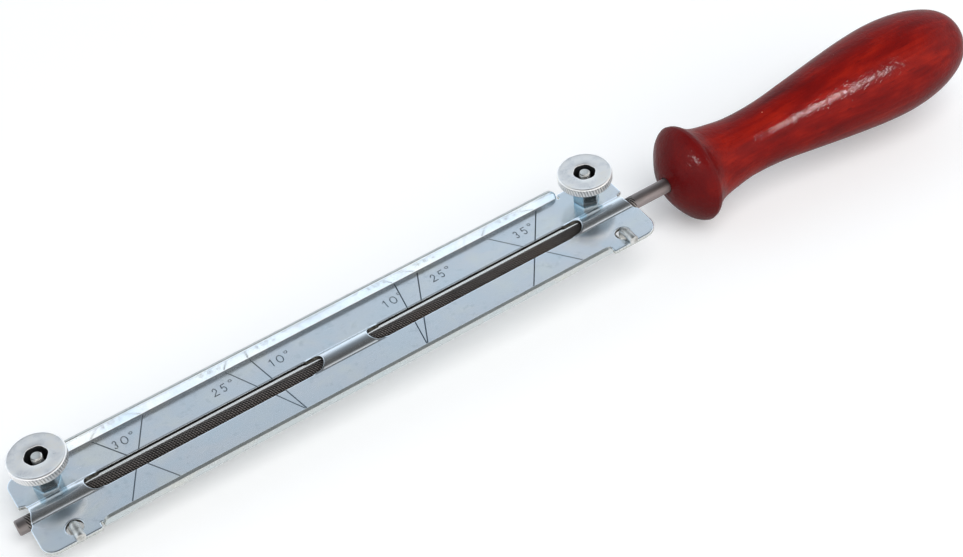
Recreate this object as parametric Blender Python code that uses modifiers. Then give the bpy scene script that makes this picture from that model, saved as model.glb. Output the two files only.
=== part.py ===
"""Guide for sharpening a saw chain with a round file.

The origin is on the file's axis, at the middle of the overall length. +X runs towards the handle,
+Y towards the thumb wheels and +Z up, square to the sheet guide. All lengths are in metres.
"""

import math

import bmesh
import bpy

# Round file
FILE_DIAMETER = 0.00476
FILE_TIP_BEVEL = 0.0004
FILE_OVERHANG = 0.0029
SHANK_SOCKET_DEPTH = 0.0100
TANG_LENGTH = 0.0340
TANG_ACROSS = 0.0032
TANG_POINT_ACROSS = 0.0016
FILE_SIDES = 32

# Sheet guide
SHEET = 0.0013
GUIDE_LENGTH = 0.2082
GUIDE_WIDTH = 0.0325
GUIDE_CORNER = 0.0050
GUIDE_TIP_CORNER = 0.0040
FILE_RISE = 0.00138
RUNNING_GAP = 0.0003
CHANNEL_PLAY = 0.0003
CHANNEL_FILLET = 0.0007
CHANNEL_RUNOUT = 0.0018
CHANNEL_PULL_IN = 0.0021
CHANNEL_NEAR_PULL_IN = 0.0007
PULL_IN_SLOPE = 0.0007
PULL_IN_CORNER = 0.0006
WINDOW_WIDTH = 0.0061
WINDOW_SETBACK = 0.0189
BRIDGE_LENGTH = 0.0156
CHANNEL_REACH = 0.0055

# Upturned flanges along both long edges, leaning a little outwards
FLANGE_SETBACK = 0.0179
FLANGE_OUTER_WIDTH = 0.0337
FLANGE_RISE = 0.0033
FLANGE_LEAN_DEGREES = 14
FLANGE_BEND = 0.0005
FLANGE_CORNER = 0.0024
FLANGE_RELIEF = 0.0006

# Clamps: a bent wire hook under the file, drawn up by a thumb wheel with a nut in it
CLAMP_SETBACK = 0.0106
WIRE_DIAMETER = 0.0028
THREAD_DIAMETER = 0.0035
THREAD_LENGTH = 0.0136
STUD_OFFSET = 0.0087
STUD_HOLE_DIAMETER = 0.0046
STUD_CHAMFER = 0.0005
HOOK_HOLE_OFFSET = 0.0112
HOOK_HOLE_DIAMETER = 0.0052
STUD_BEND = 0.0034
LEG_BEND = 0.0034
LIP_BEND = 0.0020
LIP_SLOPE_DEGREES = 0
WHEEL_DIAMETER = 0.0174
WHEEL_THICKNESS = 0.0032
WHEEL_EDGE = 0.0006
WHEEL_HEIGHT = 0.0117
BARREL_ACROSS_FLATS = 0.0075
BARREL_CHAMFER = 0.0004
SOCKET_ACROSS_FLATS = 0.0066
SOCKET_CORNER = 0.0012
BARREL_FLOOR = 0.0008
STUD_BELOW_WHEEL_TOP = 0.0002
NUT_HEIGHT = 0.0030
NUT_CHAMFER = 0.0003
FRONT_WHEEL_DEGREES = -6
REAR_WHEEL_DEGREES = -14

# Handle
HANDLE_GAP = 0.0144
HANDLE_LENGTH = 0.1219
HANDLE_COLLAR_DIAMETER = 0.0330
HANDLE_NECK_DIAMETER = 0.0211
HANDLE_BELLY_DIAMETER = 0.0328
HANDLE_SIDES = 40

OVERRUN = 0.0020

FILE_RADIUS = FILE_DIAMETER / 2
WIRE_RADIUS = WIRE_DIAMETER / 2
OVERALL_LENGTH = FILE_OVERHANG + GUIDE_LENGTH + HANDLE_GAP + HANDLE_LENGTH
TIP_X = -OVERALL_LENGTH / 2
GUIDE_X = TIP_X + FILE_OVERHANG + GUIDE_LENGTH / 2
HANDLE_X = TIP_X + FILE_OVERHANG + GUIDE_LENGTH + HANDLE_GAP
UNDERSIDE_Z = FILE_RADIUS - FILE_RISE
DECK_Z = UNDERSIDE_Z + SHEET
CHANNEL_RADIUS = FILE_RADIUS + CHANNEL_PLAY + SHEET
WINDOW_LENGTH = (GUIDE_LENGTH - BRIDGE_LENGTH) / 2 - WINDOW_SETBACK
WINDOW_SPACING = WINDOW_LENGTH + BRIDGE_LENGTH
FLANGE_LENGTH = GUIDE_LENGTH - 2 * FLANGE_SETBACK
FLANGE_TURN = math.radians(90 - FLANGE_LEAN_DEGREES)
FLANGE_STRAIGHT = (FLANGE_RISE - FLANGE_BEND * (1 - math.cos(FLANGE_TURN))) / math.sin(FLANGE_TURN)
CLAMP_SPACING = GUIDE_LENGTH - 2 * CLAMP_SETBACK
WHEEL_TOP_Z = DECK_Z + WHEEL_HEIGHT
BARREL_FOOT_Z = DECK_Z + RUNNING_GAP

# Radius along the handle: share of its length, then share of the collar's radius, or of the neck's
# or the belly's where the table says so
HANDLE_NOSE_SHARES = [(0.0, 0.24), (0.008, 0.45), (0.022, 0.64), (0.045, 0.87), (0.060, 0.965), (0.070, 1.0)]
HANDLE_BACK_SHARES = [(0.082, 0.975), (0.100, 0.87), (0.125, 0.775)]
HANDLE_NECK_SHARES = [(0.17, 1.10), (0.24, 1.0), (0.34, 1.03), (0.45, 1.19)]
HANDLE_BELLY_SHARES = [(0.57, 0.885), (0.68, 0.975), (0.77, 1.0), (0.86, 0.925), (0.93, 0.74)]
HANDLE_END_SHARES = [(0.97, 0.53), (0.992, 0.28), (1.0, 0.0)]

COLOURS = {
    "zinc": ((0.42, 0.50, 0.57), 0.30, 1.0),
    "steel": ((0.55, 0.56, 0.58), 0.28, 1.0),
    "file_steel": ((0.10, 0.085, 0.08), 0.42, 1.0),
    "lacquer": ((0.20, 0.008, 0.006), 0.22, 0.0),
}


def clear_scene():
    for item in list(bpy.data.objects):
        bpy.data.objects.remove(item, do_unlink=True)


def collection(name):
    made = bpy.data.collections.new(name)
    bpy.context.scene.collection.children.link(made)
    return made


def material(name):
    colour, roughness, metallic = COLOURS[name]
    made = bpy.data.materials.new(name)
    made.use_nodes = True
    shader = made.node_tree.nodes["Principled BSDF"]
    shader.inputs["Base Color"].default_value = (*colour, 1)
    shader.inputs["Roughness"].default_value = roughness
    shader.inputs["Metallic"].default_value = metallic
    made.diffuse_color = (*colour, 1)
    return made


def part(name, mesh, finish, place=(0, 0, 0), turn=0.0):
    """A named sub-part from a mesh, at its place and turned about Z."""
    item = bpy.data.objects.new(name, mesh)
    PARTS.objects.link(item)
    item.location = place
    item.rotation_euler = (0, 0, turn)
    mesh.materials.clear()
    mesh.materials.append(MATERIALS[finish])
    return item


def cutter(name, mesh, place=(0, 0, 0), turn=0.0):
    item = bpy.data.objects.new(name, mesh)
    CUTTERS.objects.link(item)
    item.location = place
    item.rotation_euler = (0, 0, turn)
    item.display_type = "WIRE"
    item.hide_render = True
    return item


def combine(item, other, operation="DIFFERENCE"):
    step = item.modifiers.new(other.name, "BOOLEAN")
    step.object = other
    step.operation = operation
    step.solver = "EXACT"


def shading_tree():
    """A node tree that shades a finished shape smooth, but leaves its real edges sharp."""
    tree = bpy.data.node_groups.new("smooth_by_angle", "GeometryNodeTree")
    tree.interface.new_socket("Geometry", in_out="INPUT", socket_type="NodeSocketGeometry")
    tree.interface.new_socket("Geometry", in_out="OUTPUT", socket_type="NodeSocketGeometry")
    start = tree.nodes.new("NodeGroupInput")
    angle = tree.nodes.new("GeometryNodeInputMeshEdgeAngle")
    blunt = tree.nodes.new("FunctionNodeCompare")
    blunt.data_type = "FLOAT"
    blunt.operation = "LESS_THAN"
    blunt.inputs["B"].default_value = math.radians(SHARP_FROM_DEGREES)
    faces = tree.nodes.new("GeometryNodeSetShadeSmooth")
    faces.domain = "FACE"
    edges = tree.nodes.new("GeometryNodeSetShadeSmooth")
    edges.domain = "EDGE"
    end = tree.nodes.new("NodeGroupOutput")
    tree.links.new(start.outputs["Geometry"], faces.inputs["Geometry"])
    tree.links.new(faces.outputs["Geometry"], edges.inputs["Geometry"])
    tree.links.new(angle.outputs["Unsigned Angle"], blunt.inputs["A"])
    tree.links.new(blunt.outputs["Result"], edges.inputs["Shade Smooth"])
    tree.links.new(edges.outputs["Geometry"], end.inputs["Geometry"])
    return tree


def shade(item, tree):
    item.modifiers.new("smooth_by_angle", "NODES").node_group = tree
    weighted = item.modifiers.new("weighted_normals", "WEIGHTED_NORMAL")
    weighted.keep_sharp = True


SHARP_FROM_DEGREES = 32


def mesh_of(name, build):
    """A mesh made by the function build from an empty bmesh."""
    work = bmesh.new()
    build(work)
    mesh = bpy.data.meshes.new(name)
    work.to_mesh(mesh)
    work.free()
    return mesh


def cylinder_mesh(name, radius, low, high, sides):
    """An upright cylinder between two heights."""
    def build(work):
        made = bmesh.ops.create_cone(
            work, cap_ends=True, segments=sides, radius1=radius, radius2=radius, depth=high - low
        )
        bmesh.ops.translate(work, verts=made["verts"], vec=(0, 0, (low + high) / 2))
    return mesh_of(name, build)


def arc(centre, radius, start, end, steps):
    """Points on an arc, with its angles in radians and both ends kept."""
    x, y = centre
    angles = [start + (end - start) * i / steps for i in range(steps + 1)]
    return [(x + radius * math.cos(a), y + radius * math.sin(a)) for a in angles]


def rounded(corners, steps=6):
    """The outline through corners (x, y, radius), each radius made an arc between its two sides."""
    points = []
    for i, (x, y, radius) in enumerate(corners):
        if radius <= 0:
            points.append((x, y))
            continue
        before, after = corners[i - 1], corners[(i + 1) % len(corners)]
        to_before = math.atan2(before[1] - y, before[0] - x)
        to_after = math.atan2(after[1] - y, after[0] - x)
        half = ((to_after - to_before + math.pi) % (2 * math.pi) - math.pi) / 2
        reach = radius / abs(math.sin(half))
        centre = (x + reach * math.cos(to_before + half), y + reach * math.sin(to_before + half))
        turn = math.copysign(math.pi / 2 - abs(half), half)
        middle = to_before + half + math.pi
        points += arc(centre, radius, middle + turn, middle - turn, steps)
    return points


def flat_mesh(name, outline, low, high):
    """A flat piece with the given outline between two heights, from a filled curve."""
    curve = bpy.data.curves.new(name, "CURVE")
    curve.dimensions = "2D"
    curve.fill_mode = "BOTH"
    curve.extrude = (high - low) / 2
    line = curve.splines.new("POLY")
    line.points.add(len(outline) - 1)
    for point, (x, y) in zip(line.points, outline):
        point.co = (x, y, 0, 1)
    line.use_cyclic_u = True
    return solid_mesh(name, curve, (low + high) / 2)


def solid_mesh(name, curve, lift=0.0):
    """The closed mesh of a curve, its caps welded to its sides."""
    holder = bpy.data.objects.new(name, curve)
    bpy.context.scene.collection.objects.link(holder)
    graph = bpy.context.evaluated_depsgraph_get()
    mesh = bpy.data.meshes.new_from_object(holder.evaluated_get(graph))
    bpy.data.objects.remove(holder, do_unlink=True)
    work = bmesh.new()
    work.from_mesh(mesh)
    bmesh.ops.translate(work, verts=work.verts, vec=(0, 0, lift))
    bmesh.ops.remove_doubles(work, verts=work.verts, dist=WELD)
    bmesh.ops.recalc_face_normals(work, faces=work.faces)
    work.to_mesh(mesh)
    work.free()
    return mesh


def turned_mesh(name, profile, sides):
    """A closed shape turned about Z from (radius, height) points that run from the top down."""
    def build(work):
        line = [work.verts.new((radius, 0, height)) for radius, height in profile]
        for first, second in zip(line, line[1:]):
            work.edges.new((first, second))
    mesh = mesh_of(name + "_profile", build)
    holder = bpy.data.objects.new(name, mesh)
    bpy.context.scene.collection.objects.link(holder)
    screw = holder.modifiers.new("turn", "SCREW")
    screw.steps = sides
    screw.render_steps = sides
    screw.use_merge_vertices = True
    screw.merge_threshold = WELD
    graph = bpy.context.evaluated_depsgraph_get()
    made = bpy.data.meshes.new_from_object(holder.evaluated_get(graph))
    bpy.data.objects.remove(holder, do_unlink=True)
    return made


def along_x(item):
    """Lays a shape turned about Z down, so that its top points to +X."""
    item.rotation_euler = (0, math.pi / 2, 0)


WELD = RUNNING_GAP / 30


def guide_section(lift_share, flange_share):
    """Half of the sheet's upper side at one station, from the middle outwards, as (y, z) points.

    The pressed channel has its full height at a lift_share of 1. The last points climb the flange,
    of which flange_share is left.
    """
    ring = CHANNEL_RADIUS + CHANNEL_FILLET
    fillet_z = DECK_Z + CHANNEL_FILLET
    fillet_y = math.sqrt(ring ** 2 - fillet_z ** 2)
    tangent = math.atan2(fillet_z, fillet_y)
    crown = arc((0, 0), CHANNEL_RADIUS, math.pi / 2, tangent, CROWN_STEPS)
    foot = arc((fillet_y, fillet_z), CHANNEL_FILLET, tangent + math.pi, 1.5 * math.pi, FOOT_STEPS)
    points = [(y, DECK_Z + (z - DECK_Z) * lift_share) for y, z in crown + foot[1:]]
    out = (FLANGE_BEND + SHEET) * math.sin(FLANGE_TURN) + FLANGE_STRAIGHT * math.cos(FLANGE_TURN)
    bend_y = FLANGE_OUTER_WIDTH / 2 - out
    points.append(((fillet_y + bend_y) / 2, DECK_Z))
    down = -math.pi / 2
    points += arc((bend_y, DECK_Z + FLANGE_BEND), FLANGE_BEND, down, down + FLANGE_TURN, BEND_STEPS)
    bent = FLANGE_BEND * FLANGE_TURN
    straight = max((bent + FLANGE_STRAIGHT) * flange_share - bent, 0)
    y, z = points[-1]
    for i in range(1, FLANGE_STEPS + 1):
        reach = straight * i / FLANGE_STEPS
        points.append((y + reach * math.cos(FLANGE_TURN), z + reach * math.sin(FLANGE_TURN)))
    return points


CROWN_STEPS = 7
FOOT_STEPS = 4
BEND_STEPS = 5
FLANGE_STEPS = 2

# How much of the channel's height is left along its run-out
RUNOUT_SHARES = [(0.0, 1.0), (0.2, 0.93), (0.4, 0.7), (0.6, 0.3), (0.8, 0.07), (1.0, 0.0)]


def guide_stations():
    """(x, lift_share, flange_share) along half of the guide. A flange_share of 0 has a flat edge."""
    bridge_end = (WINDOW_SPACING - WINDOW_LENGTH) / 2 + CHANNEL_REACH
    end_start = (WINDOW_SPACING + WINDOW_LENGTH) / 2 - CHANNEL_REACH
    flange_end = FLANGE_LENGTH / 2
    past_end = GUIDE_LENGTH / 2 + OVERRUN
    stations = [(0, 1, 1)]
    for place, lift_share in RUNOUT_SHARES:
        stations.append((bridge_end + (place - 1) * CHANNEL_RUNOUT, lift_share, 1))
    stations.append((WINDOW_SPACING / 2, 0, 1))
    for place, lift_share in reversed(RUNOUT_SHARES):
        stations.append((end_start + (1 - place) * CHANNEL_RUNOUT, lift_share, 1))
    full = FLANGE_BEND * FLANGE_TURN + FLANGE_STRAIGHT
    for x, drop in arc((0, 0), FLANGE_CORNER, math.pi / 2, 0, CORNER_STEPS):
        share = 1 - (FLANGE_CORNER - drop) / full
        stations.append((flange_end - FLANGE_CORNER + x, 1, share))
    stations += [(flange_end + FLANGE_RELIEF, 1, 0), (past_end, 1, 0)]
    return stations


CORNER_STEPS = 6


def guide_quarter(work):
    """A quarter of the sheet's upper side: the deck, then the flange, or the flat edge past its end."""
    stations = guide_stations()
    deck_count = CROWN_STEPS + FOOT_STEPS + 3
    edge_y = GUIDE_WIDTH / 2 + OVERRUN
    rows = []
    for x, lift_share, flange_share in stations:
        points = guide_section(lift_share, max(flange_share, 0))
        if flange_share <= 0:
            points = points[:deck_count] + [(edge_y, DECK_Z)]
        rows.append([work.verts.new((x, y, z)) for y, z in points])
    for near, far in zip(rows, rows[1:]):
        count = min(len(near), len(far))
        if len(near) != len(far):
            count = deck_count
        for j in range(count - 1):
            work.faces.new((near[j], far[j], far[j + 1], near[j + 1]))


def guide_outline():
    """The blank's outline, with the ends drawn in where the channel is pressed."""
    half = GUIDE_LENGTH / 2
    edge = GUIDE_WIDTH / 2
    clear = FLANGE_OUTER_WIDTH / 2 + OVERRUN
    step = (FLANGE_LENGTH + FLANGE_RELIEF) / 2
    mouth = CHANNEL_RADIUS + PULL_IN_SLOPE
    end = [
        (half, edge, GUIDE_CORNER),
        (half, mouth, PULL_IN_CORNER),
        (half - CHANNEL_PULL_IN, CHANNEL_RADIUS, PULL_IN_CORNER),
        (half - CHANNEL_PULL_IN, -PULL_IN_CORNER, PULL_IN_CORNER),
        (half - CHANNEL_NEAR_PULL_IN, -CHANNEL_RADIUS, PULL_IN_CORNER),
        (half, -mouth, PULL_IN_CORNER),
        (half, -edge, GUIDE_CORNER),
    ]
    tip = [(-x, y, GUIDE_TIP_CORNER if radius == GUIDE_CORNER else radius) for x, y, radius in end]
    corners = end + [(step, -edge, 0), (step, -clear, 0), (-step, -clear, 0), (-step, -edge, 0)]
    corners += tip[::-1] + [(-step, edge, 0), (-step, clear, 0), (step, clear, 0), (step, edge, 0)]
    return rounded(corners)


def add_guide():
    """The pressed sheet: channels for the file, windows between them, flanges and clamp holes."""
    guide = part("guide_plate", mesh_of("guide_plate", guide_quarter), "zinc", (GUIDE_X, 0, 0))
    mirror = guide.modifiers.new("both_sides", "MIRROR")
    mirror.use_axis = (True, True, False)
    mirror.merge_threshold = WELD
    wall = guide.modifiers.new("sheet", "SOLIDIFY")
    wall.thickness = SHEET
    wall.offset = -1
    wall.use_even_offset = True
    guide.modifiers.new("plane_faces", "TRIANGULATE")
    low, high = UNDERSIDE_Z - OVERRUN, DECK_Z + FLANGE_RISE + OVERRUN
    blank = flat_mesh("blank_outline", guide_outline(), low, high)
    combine(guide, cutter("blank_outline", blank, (GUIDE_X, 0, 0)), "INTERSECT")
    radius = WINDOW_WIDTH / 2
    straight = WINDOW_LENGTH / 2 - radius
    slot = arc((straight, 0), radius, -math.pi / 2, math.pi / 2, 12)
    slot += arc((-straight, 0), radius, math.pi / 2, 1.5 * math.pi, 12)
    for side, name in ((-1, "window_tip_side"), (1, "window_handle_side")):
        mesh = flat_mesh(name, slot, low, high)
        combine(guide, cutter(name, mesh, (GUIDE_X + side * WINDOW_SPACING / 2, 0, 0)))
    for side, end, _ in CLAMP_ENDS:
        x = GUIDE_X + side * CLAMP_SPACING / 2
        hook_hole = cylinder_mesh("hook_hole_" + end, HOOK_HOLE_DIAMETER / 2, low, high, 24)
        combine(guide, cutter("hook_hole_" + end, hook_hole, (x, -HOOK_HOLE_OFFSET, 0)))
        stud_hole = cylinder_mesh("stud_hole_" + end, STUD_HOLE_DIAMETER / 2, low, high, 24)
        combine(guide, cutter("stud_hole_" + end, stud_hole, (x, STUD_OFFSET, 0)))


def add_file():
    """The round file, with a four-sided tang that tapers into the handle."""
    shank = HANDLE_X + SHANK_SOCKET_DEPTH
    profile = [(0, shank), (FILE_RADIUS, shank), (FILE_RADIUS, TIP_X + FILE_TIP_BEVEL)]
    profile += [(FILE_RADIUS - FILE_TIP_BEVEL, TIP_X), (0, TIP_X)]
    body = part("round_file", turned_mesh("round_file", profile, FILE_SIDES), "file_steel")
    along_x(body)
    root = SHEET

    def build(work):
        made = bmesh.ops.create_cone(
            work,
            cap_ends=True,
            segments=4,
            radius1=TANG_ACROSS / math.sqrt(2),
            radius2=TANG_POINT_ACROSS / math.sqrt(2),
            depth=TANG_LENGTH + root,
        )
        bmesh.ops.translate(work, verts=made["verts"], vec=(0, 0, (TANG_LENGTH - root) / 2))

    tang = cutter("tang", mesh_of("tang", build), (shank, 0, 0))
    along_x(tang)
    combine(body, tang, "UNION")


def handle_profile():
    """(radius, distance from the front) of the turned handle, from its rounded end to its nose."""
    rows = []
    tables = (
        (HANDLE_NOSE_SHARES, HANDLE_COLLAR_DIAMETER),
        (HANDLE_BACK_SHARES, HANDLE_COLLAR_DIAMETER),
        (HANDLE_NECK_SHARES, HANDLE_NECK_DIAMETER),
        (HANDLE_BELLY_SHARES, HANDLE_BELLY_DIAMETER),
        (HANDLE_END_SHARES, HANDLE_BELLY_DIAMETER),
    )
    for shares, diameter in tables:
        rows += [(place * HANDLE_LENGTH, share * diameter / 2) for place, share in shares]
    collar = len(HANDLE_NOSE_SHARES) - 1
    nose = smooth(rows[:collar + 1], 3)
    grip = smooth(rows[collar:], 4)
    points = [(radius, place) for place, radius in nose + grip[1:]]
    return [(max(radius, 0), place) for radius, place in reversed(points)] + [(0, 0)]


def smooth(rows, steps):
    """A curve through (place, radius) rows, with the slope at each row taken from its neighbours."""
    def slope(i):
        low, high = max(i - 1, 0), min(i + 1, len(rows) - 1)
        return (rows[high][1] - rows[low][1]) / (rows[high][0] - rows[low][0])

    points = [rows[0]]
    for i in range(len(rows) - 1):
        (a, ra), (b, rb) = rows[i], rows[i + 1]
        span = b - a
        for k in range(1, steps + 1):
            t = k / steps
            start = (1 + 2 * t) * (1 - t) ** 2 * ra + t * (1 - t) ** 2 * span * slope(i)
            end = t * t * (3 - 2 * t) * rb + t * t * (t - 1) * span * slope(i + 1)
            points.append((a + t * span, start + end))
    return points


def add_handle():
    """The turned handle, bored for the file's shank and tang."""
    place = (HANDLE_X, 0, 0)
    handle = part("handle", turned_mesh("handle", handle_profile(), HANDLE_SIDES), "lacquer", place)
    along_x(handle)
    mouth = FILE_RADIUS + RUNNING_GAP
    tang_mouth = TANG_ACROSS / math.sqrt(2) + RUNNING_GAP
    tang_end = TANG_POINT_ACROSS / math.sqrt(2) + RUNNING_GAP
    floor = SHANK_SOCKET_DEPTH + TANG_LENGTH + RUNNING_GAP
    ledge = SHANK_SOCKET_DEPTH + RUNNING_GAP
    profile = [(0, floor), (tang_end, floor), (min(tang_mouth, mouth), ledge), (mouth, ledge)]
    profile += [(mouth, -OVERRUN), (0, -OVERRUN)]
    bore = cutter("tang_bore", turned_mesh("tang_bore", profile, FILE_SIDES), place)
    along_x(bore)
    combine(handle, bore)


def hook_path():
    """The hook's centre line from the stud's top to its lip, as (y, z, radius) points."""
    run_z = -FILE_RADIUS - RUNNING_GAP - WIRE_RADIUS
    top_z = WHEEL_TOP_Z - STUD_BELOW_WHEEL_TOP
    thread = THREAD_DIAMETER / 2
    thread_end = top_z - THREAD_LENGTH
    chamfered = thread - STUD_CHAMFER
    points = [(STUD_OFFSET, top_z, chamfered), (STUD_OFFSET, top_z - STUD_CHAMFER, thread)]
    points += [(STUD_OFFSET, thread_end, thread), (STUD_OFFSET, thread_end - STUD_CHAMFER, WIRE_RADIUS)]
    line = arc((STUD_OFFSET - STUD_BEND, run_z + STUD_BEND), STUD_BEND, 0, -math.pi / 2, 8)
    leg_y = -HOOK_HOLE_OFFSET
    line += arc((leg_y + LEG_BEND, run_z + LEG_BEND), LEG_BEND, -math.pi / 2, -math.pi, 8)
    slope = math.radians(LIP_SLOPE_DEGREES)
    lip_y = leg_y - LIP_BEND
    rim_y = leg_y - HOOK_HOLE_DIAMETER / 2
    # The lip's underside passes the hole's rim at the running gap.
    height = (WIRE_RADIUS + RUNNING_GAP) / math.cos(slope)
    bend_end_y = lip_y + LIP_BEND * math.sin(slope)
    bend_z = DECK_Z + height - (bend_end_y - rim_y) * math.tan(slope) - LIP_BEND * math.cos(slope)
    line += arc((lip_y, bend_z), LIP_BEND, 0, math.pi / 2 - slope, 8)
    reach = STUD_OFFSET + WHEEL_DIAMETER / 2 - WIRE_RADIUS * math.sin(slope)
    y, z = line[-1]
    line.append((-reach, z + (y + reach) * math.tan(slope)))
    return points + [(y, z, WIRE_RADIUS) for y, z in line]


def add_hook(end, x):
    """A wire hook: threaded stud, run under the file, leg up through the sheet and a bent lip."""
    curve = bpy.data.curves.new("hook_bolt_" + end, "CURVE")
    curve.dimensions = "3D"
    curve.bevel_depth = WIRE_RADIUS
    curve.bevel_resolution = 4
    curve.use_fill_caps = True
    path = hook_path()
    line = curve.splines.new("POLY")
    line.points.add(len(path) - 1)
    pivot_y = -HOOK_HOLE_OFFSET - HOOK_HOLE_DIAMETER / 2
    for point, (y, z, radius) in zip(line.points, path):
        point.co = (0, y - pivot_y, z - DECK_Z, 1)
        point.radius = radius / WIRE_RADIUS
    mesh = solid_mesh("hook_bolt_" + end, curve)
    part("hook_bolt_" + end, mesh, "steel", (x, pivot_y, DECK_Z))


def hexagon(across_flats, corner):
    """A six-sided outline with rounded corners and two flats square to Y."""
    far = across_flats / math.sqrt(3)
    points = [math.radians(60 * i) for i in range(6)]
    return rounded([(far * math.cos(a), far * math.sin(a), corner) for a in points], 3)


def add_wheel(end, place, turn):
    """The knurled wheel on its six-sided barrel, hollow down to a floor that the stud passes."""
    edge = WHEEL_DIAMETER / 2 - WHEEL_EDGE
    low = WHEEL_TOP_Z - WHEEL_THICKNESS
    profile = [(0, WHEEL_TOP_Z)]
    profile += arc((edge, WHEEL_TOP_Z - WHEEL_EDGE), WHEEL_EDGE, math.pi / 2, 0, 3)
    profile += arc((edge, low + WHEEL_EDGE), WHEEL_EDGE, 0, -math.pi / 2, 3)
    profile.append((0, low))
    mesh = turned_mesh("thumb_wheel_" + end, profile, 48)
    wheel = part("thumb_wheel_" + end, mesh, "steel", place, turn)
    inside = low + WHEEL_THICKNESS / 2
    barrel_outline = hexagon(BARREL_ACROSS_FLATS, BARREL_CHAMFER)
    barrel = flat_mesh("barrel_" + end, barrel_outline, BARREL_FOOT_Z, inside)
    combine(wheel, cutter("barrel_" + end, barrel, place, turn), "UNION")
    floor = BARREL_FOOT_Z + BARREL_FLOOR
    socket_outline = hexagon(SOCKET_ACROSS_FLATS, SOCKET_CORNER)
    socket = flat_mesh("socket_" + end, socket_outline, floor, WHEEL_TOP_Z + OVERRUN)
    combine(wheel, cutter("socket_" + end, socket, place, turn))
    bore = THREAD_DIAMETER / 2 + RUNNING_GAP
    eye = cylinder_mesh("eye_" + end, bore, BARREL_FOOT_Z - OVERRUN, floor + OVERRUN / 2, 24)
    combine(wheel, cutter("eye_" + end, eye, place, turn))


def add_nut(end, place, turn):
    """The six-sided nut that sits on the floor of the wheel's barrel and carries the thread."""
    low = BARREL_FOOT_Z + BARREL_FLOOR + RUNNING_GAP
    high = low + NUT_HEIGHT
    across = SOCKET_ACROSS_FLATS - 2 * RUNNING_GAP
    mesh = flat_mesh("hex_nut_" + end, hexagon(across, SOCKET_CORNER), low, high)
    nut = part("hex_nut_" + end, mesh, "zinc", place, turn)
    bore = THREAD_DIAMETER / 2 + RUNNING_GAP
    wide = bore + NUT_CHAMFER
    middle = (low + high) / 2
    half = NUT_HEIGHT / 2
    profile = [(0, half + OVERRUN), (wide, half + OVERRUN), (wide, half), (bore, half - NUT_CHAMFER)]
    profile += [(bore, -half + NUT_CHAMFER), (wide, -half), (wide, -half - OVERRUN), (0, -half - OVERRUN)]
    tap = turned_mesh("tap_" + end, profile, 24)
    tap_place = (place[0], place[1], middle)
    combine(nut, cutter("tap_" + end, tap, tap_place, turn))


CLAMP_ENDS = ((-1, "front", FRONT_WHEEL_DEGREES), (1, "rear", REAR_WHEEL_DEGREES))

clear_scene()
PARTS = collection("chainsaw_file_guide")
CUTTERS = collection("cutters")
MATERIALS = {name: material(name) for name in COLOURS}
add_guide()
add_file()
add_handle()
for clamp_side, clamp_end, degrees in CLAMP_ENDS:
    clamp_x = GUIDE_X + clamp_side * CLAMP_SPACING / 2
    add_hook(clamp_end, clamp_x)
    add_wheel(clamp_end, (clamp_x, STUD_OFFSET, 0), math.radians(degrees))
    add_nut(clamp_end, (clamp_x, STUD_OFFSET, 0), math.radians(degrees))
SHADING = shading_tree()
for sub_part in PARTS.objects:
    shade(sub_part, SHADING)
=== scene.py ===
from math import atan2, copysign, cos, hypot, pi, radians, sin, sqrt, tan

import bmesh
import bpy
from mathutils import Matrix, Vector, noise


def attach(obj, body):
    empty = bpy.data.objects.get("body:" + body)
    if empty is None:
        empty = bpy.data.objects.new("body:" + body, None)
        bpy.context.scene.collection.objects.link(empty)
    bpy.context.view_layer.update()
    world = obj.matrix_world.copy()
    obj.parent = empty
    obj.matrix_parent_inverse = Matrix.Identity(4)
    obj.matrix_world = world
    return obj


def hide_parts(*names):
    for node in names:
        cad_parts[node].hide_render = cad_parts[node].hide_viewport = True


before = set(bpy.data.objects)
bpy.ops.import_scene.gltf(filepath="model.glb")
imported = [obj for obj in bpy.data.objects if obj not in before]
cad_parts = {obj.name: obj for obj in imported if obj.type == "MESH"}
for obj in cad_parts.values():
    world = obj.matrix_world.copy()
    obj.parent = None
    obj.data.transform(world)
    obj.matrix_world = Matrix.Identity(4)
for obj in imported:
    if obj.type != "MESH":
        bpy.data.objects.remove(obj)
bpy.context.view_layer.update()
scene = bpy.context.scene

# Small helpers for colours, node trees and meshes


class Named(dict):  # named values that are read as sizes.length
    __getattr__ = dict.__getitem__


def shade(red, green, blue):  # a colour from 0 to 255 as the linear one that shaders take
    parts = [c / 255 for c in (red, green, blue)]
    return tuple(c / 12.92 if c < 0.04 else ((c + 0.055) / 1.055) ** 2.4 for c in parts) + (1.0,)


def plug(tree, socket, value):
    if isinstance(value, bpy.types.NodeSocket):
        tree.links.new(value, socket)
    else:
        socket.default_value = value


def add(tree, kind, values=None, **settings):  # a node with its settings, then its inputs by name or place
    node = tree.nodes.new(kind)
    for key, value in settings.items():
        setattr(node, key, value)
    for key, value in (values or {}).items():
        plug(tree, node.inputs[key], value)
    return node


def maths(tree, operation, a, b=0.0):
    return add(tree, "ShaderNodeMath", {0: a, 1: b}, operation=operation).outputs[0]


def product(tree, a, b):
    return maths(tree, "MULTIPLY", a, b)


def spread(tree, value, low, high, toLow=0.0, toHigh=1.0, smooth=False):  # a value's range mapped to another
    values = {"Value": value, "From Min": low, "From Max": high, "To Min": toLow, "To Max": toHigh}
    style = "SMOOTHSTEP" if smooth else "LINEAR"
    return add(tree, "ShaderNodeMapRange", values, interpolation_type=style).outputs["Result"]


def blend(tree, factor, a, b, share=1.0):  # from colour a towards b by the factor, and by the share of it
    factor = product(tree, factor, share) if share < 1 else factor
    return add(tree, "ShaderNodeMix", {0: factor, 6: a, 7: b}, data_type="RGBA").outputs[2]


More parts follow.
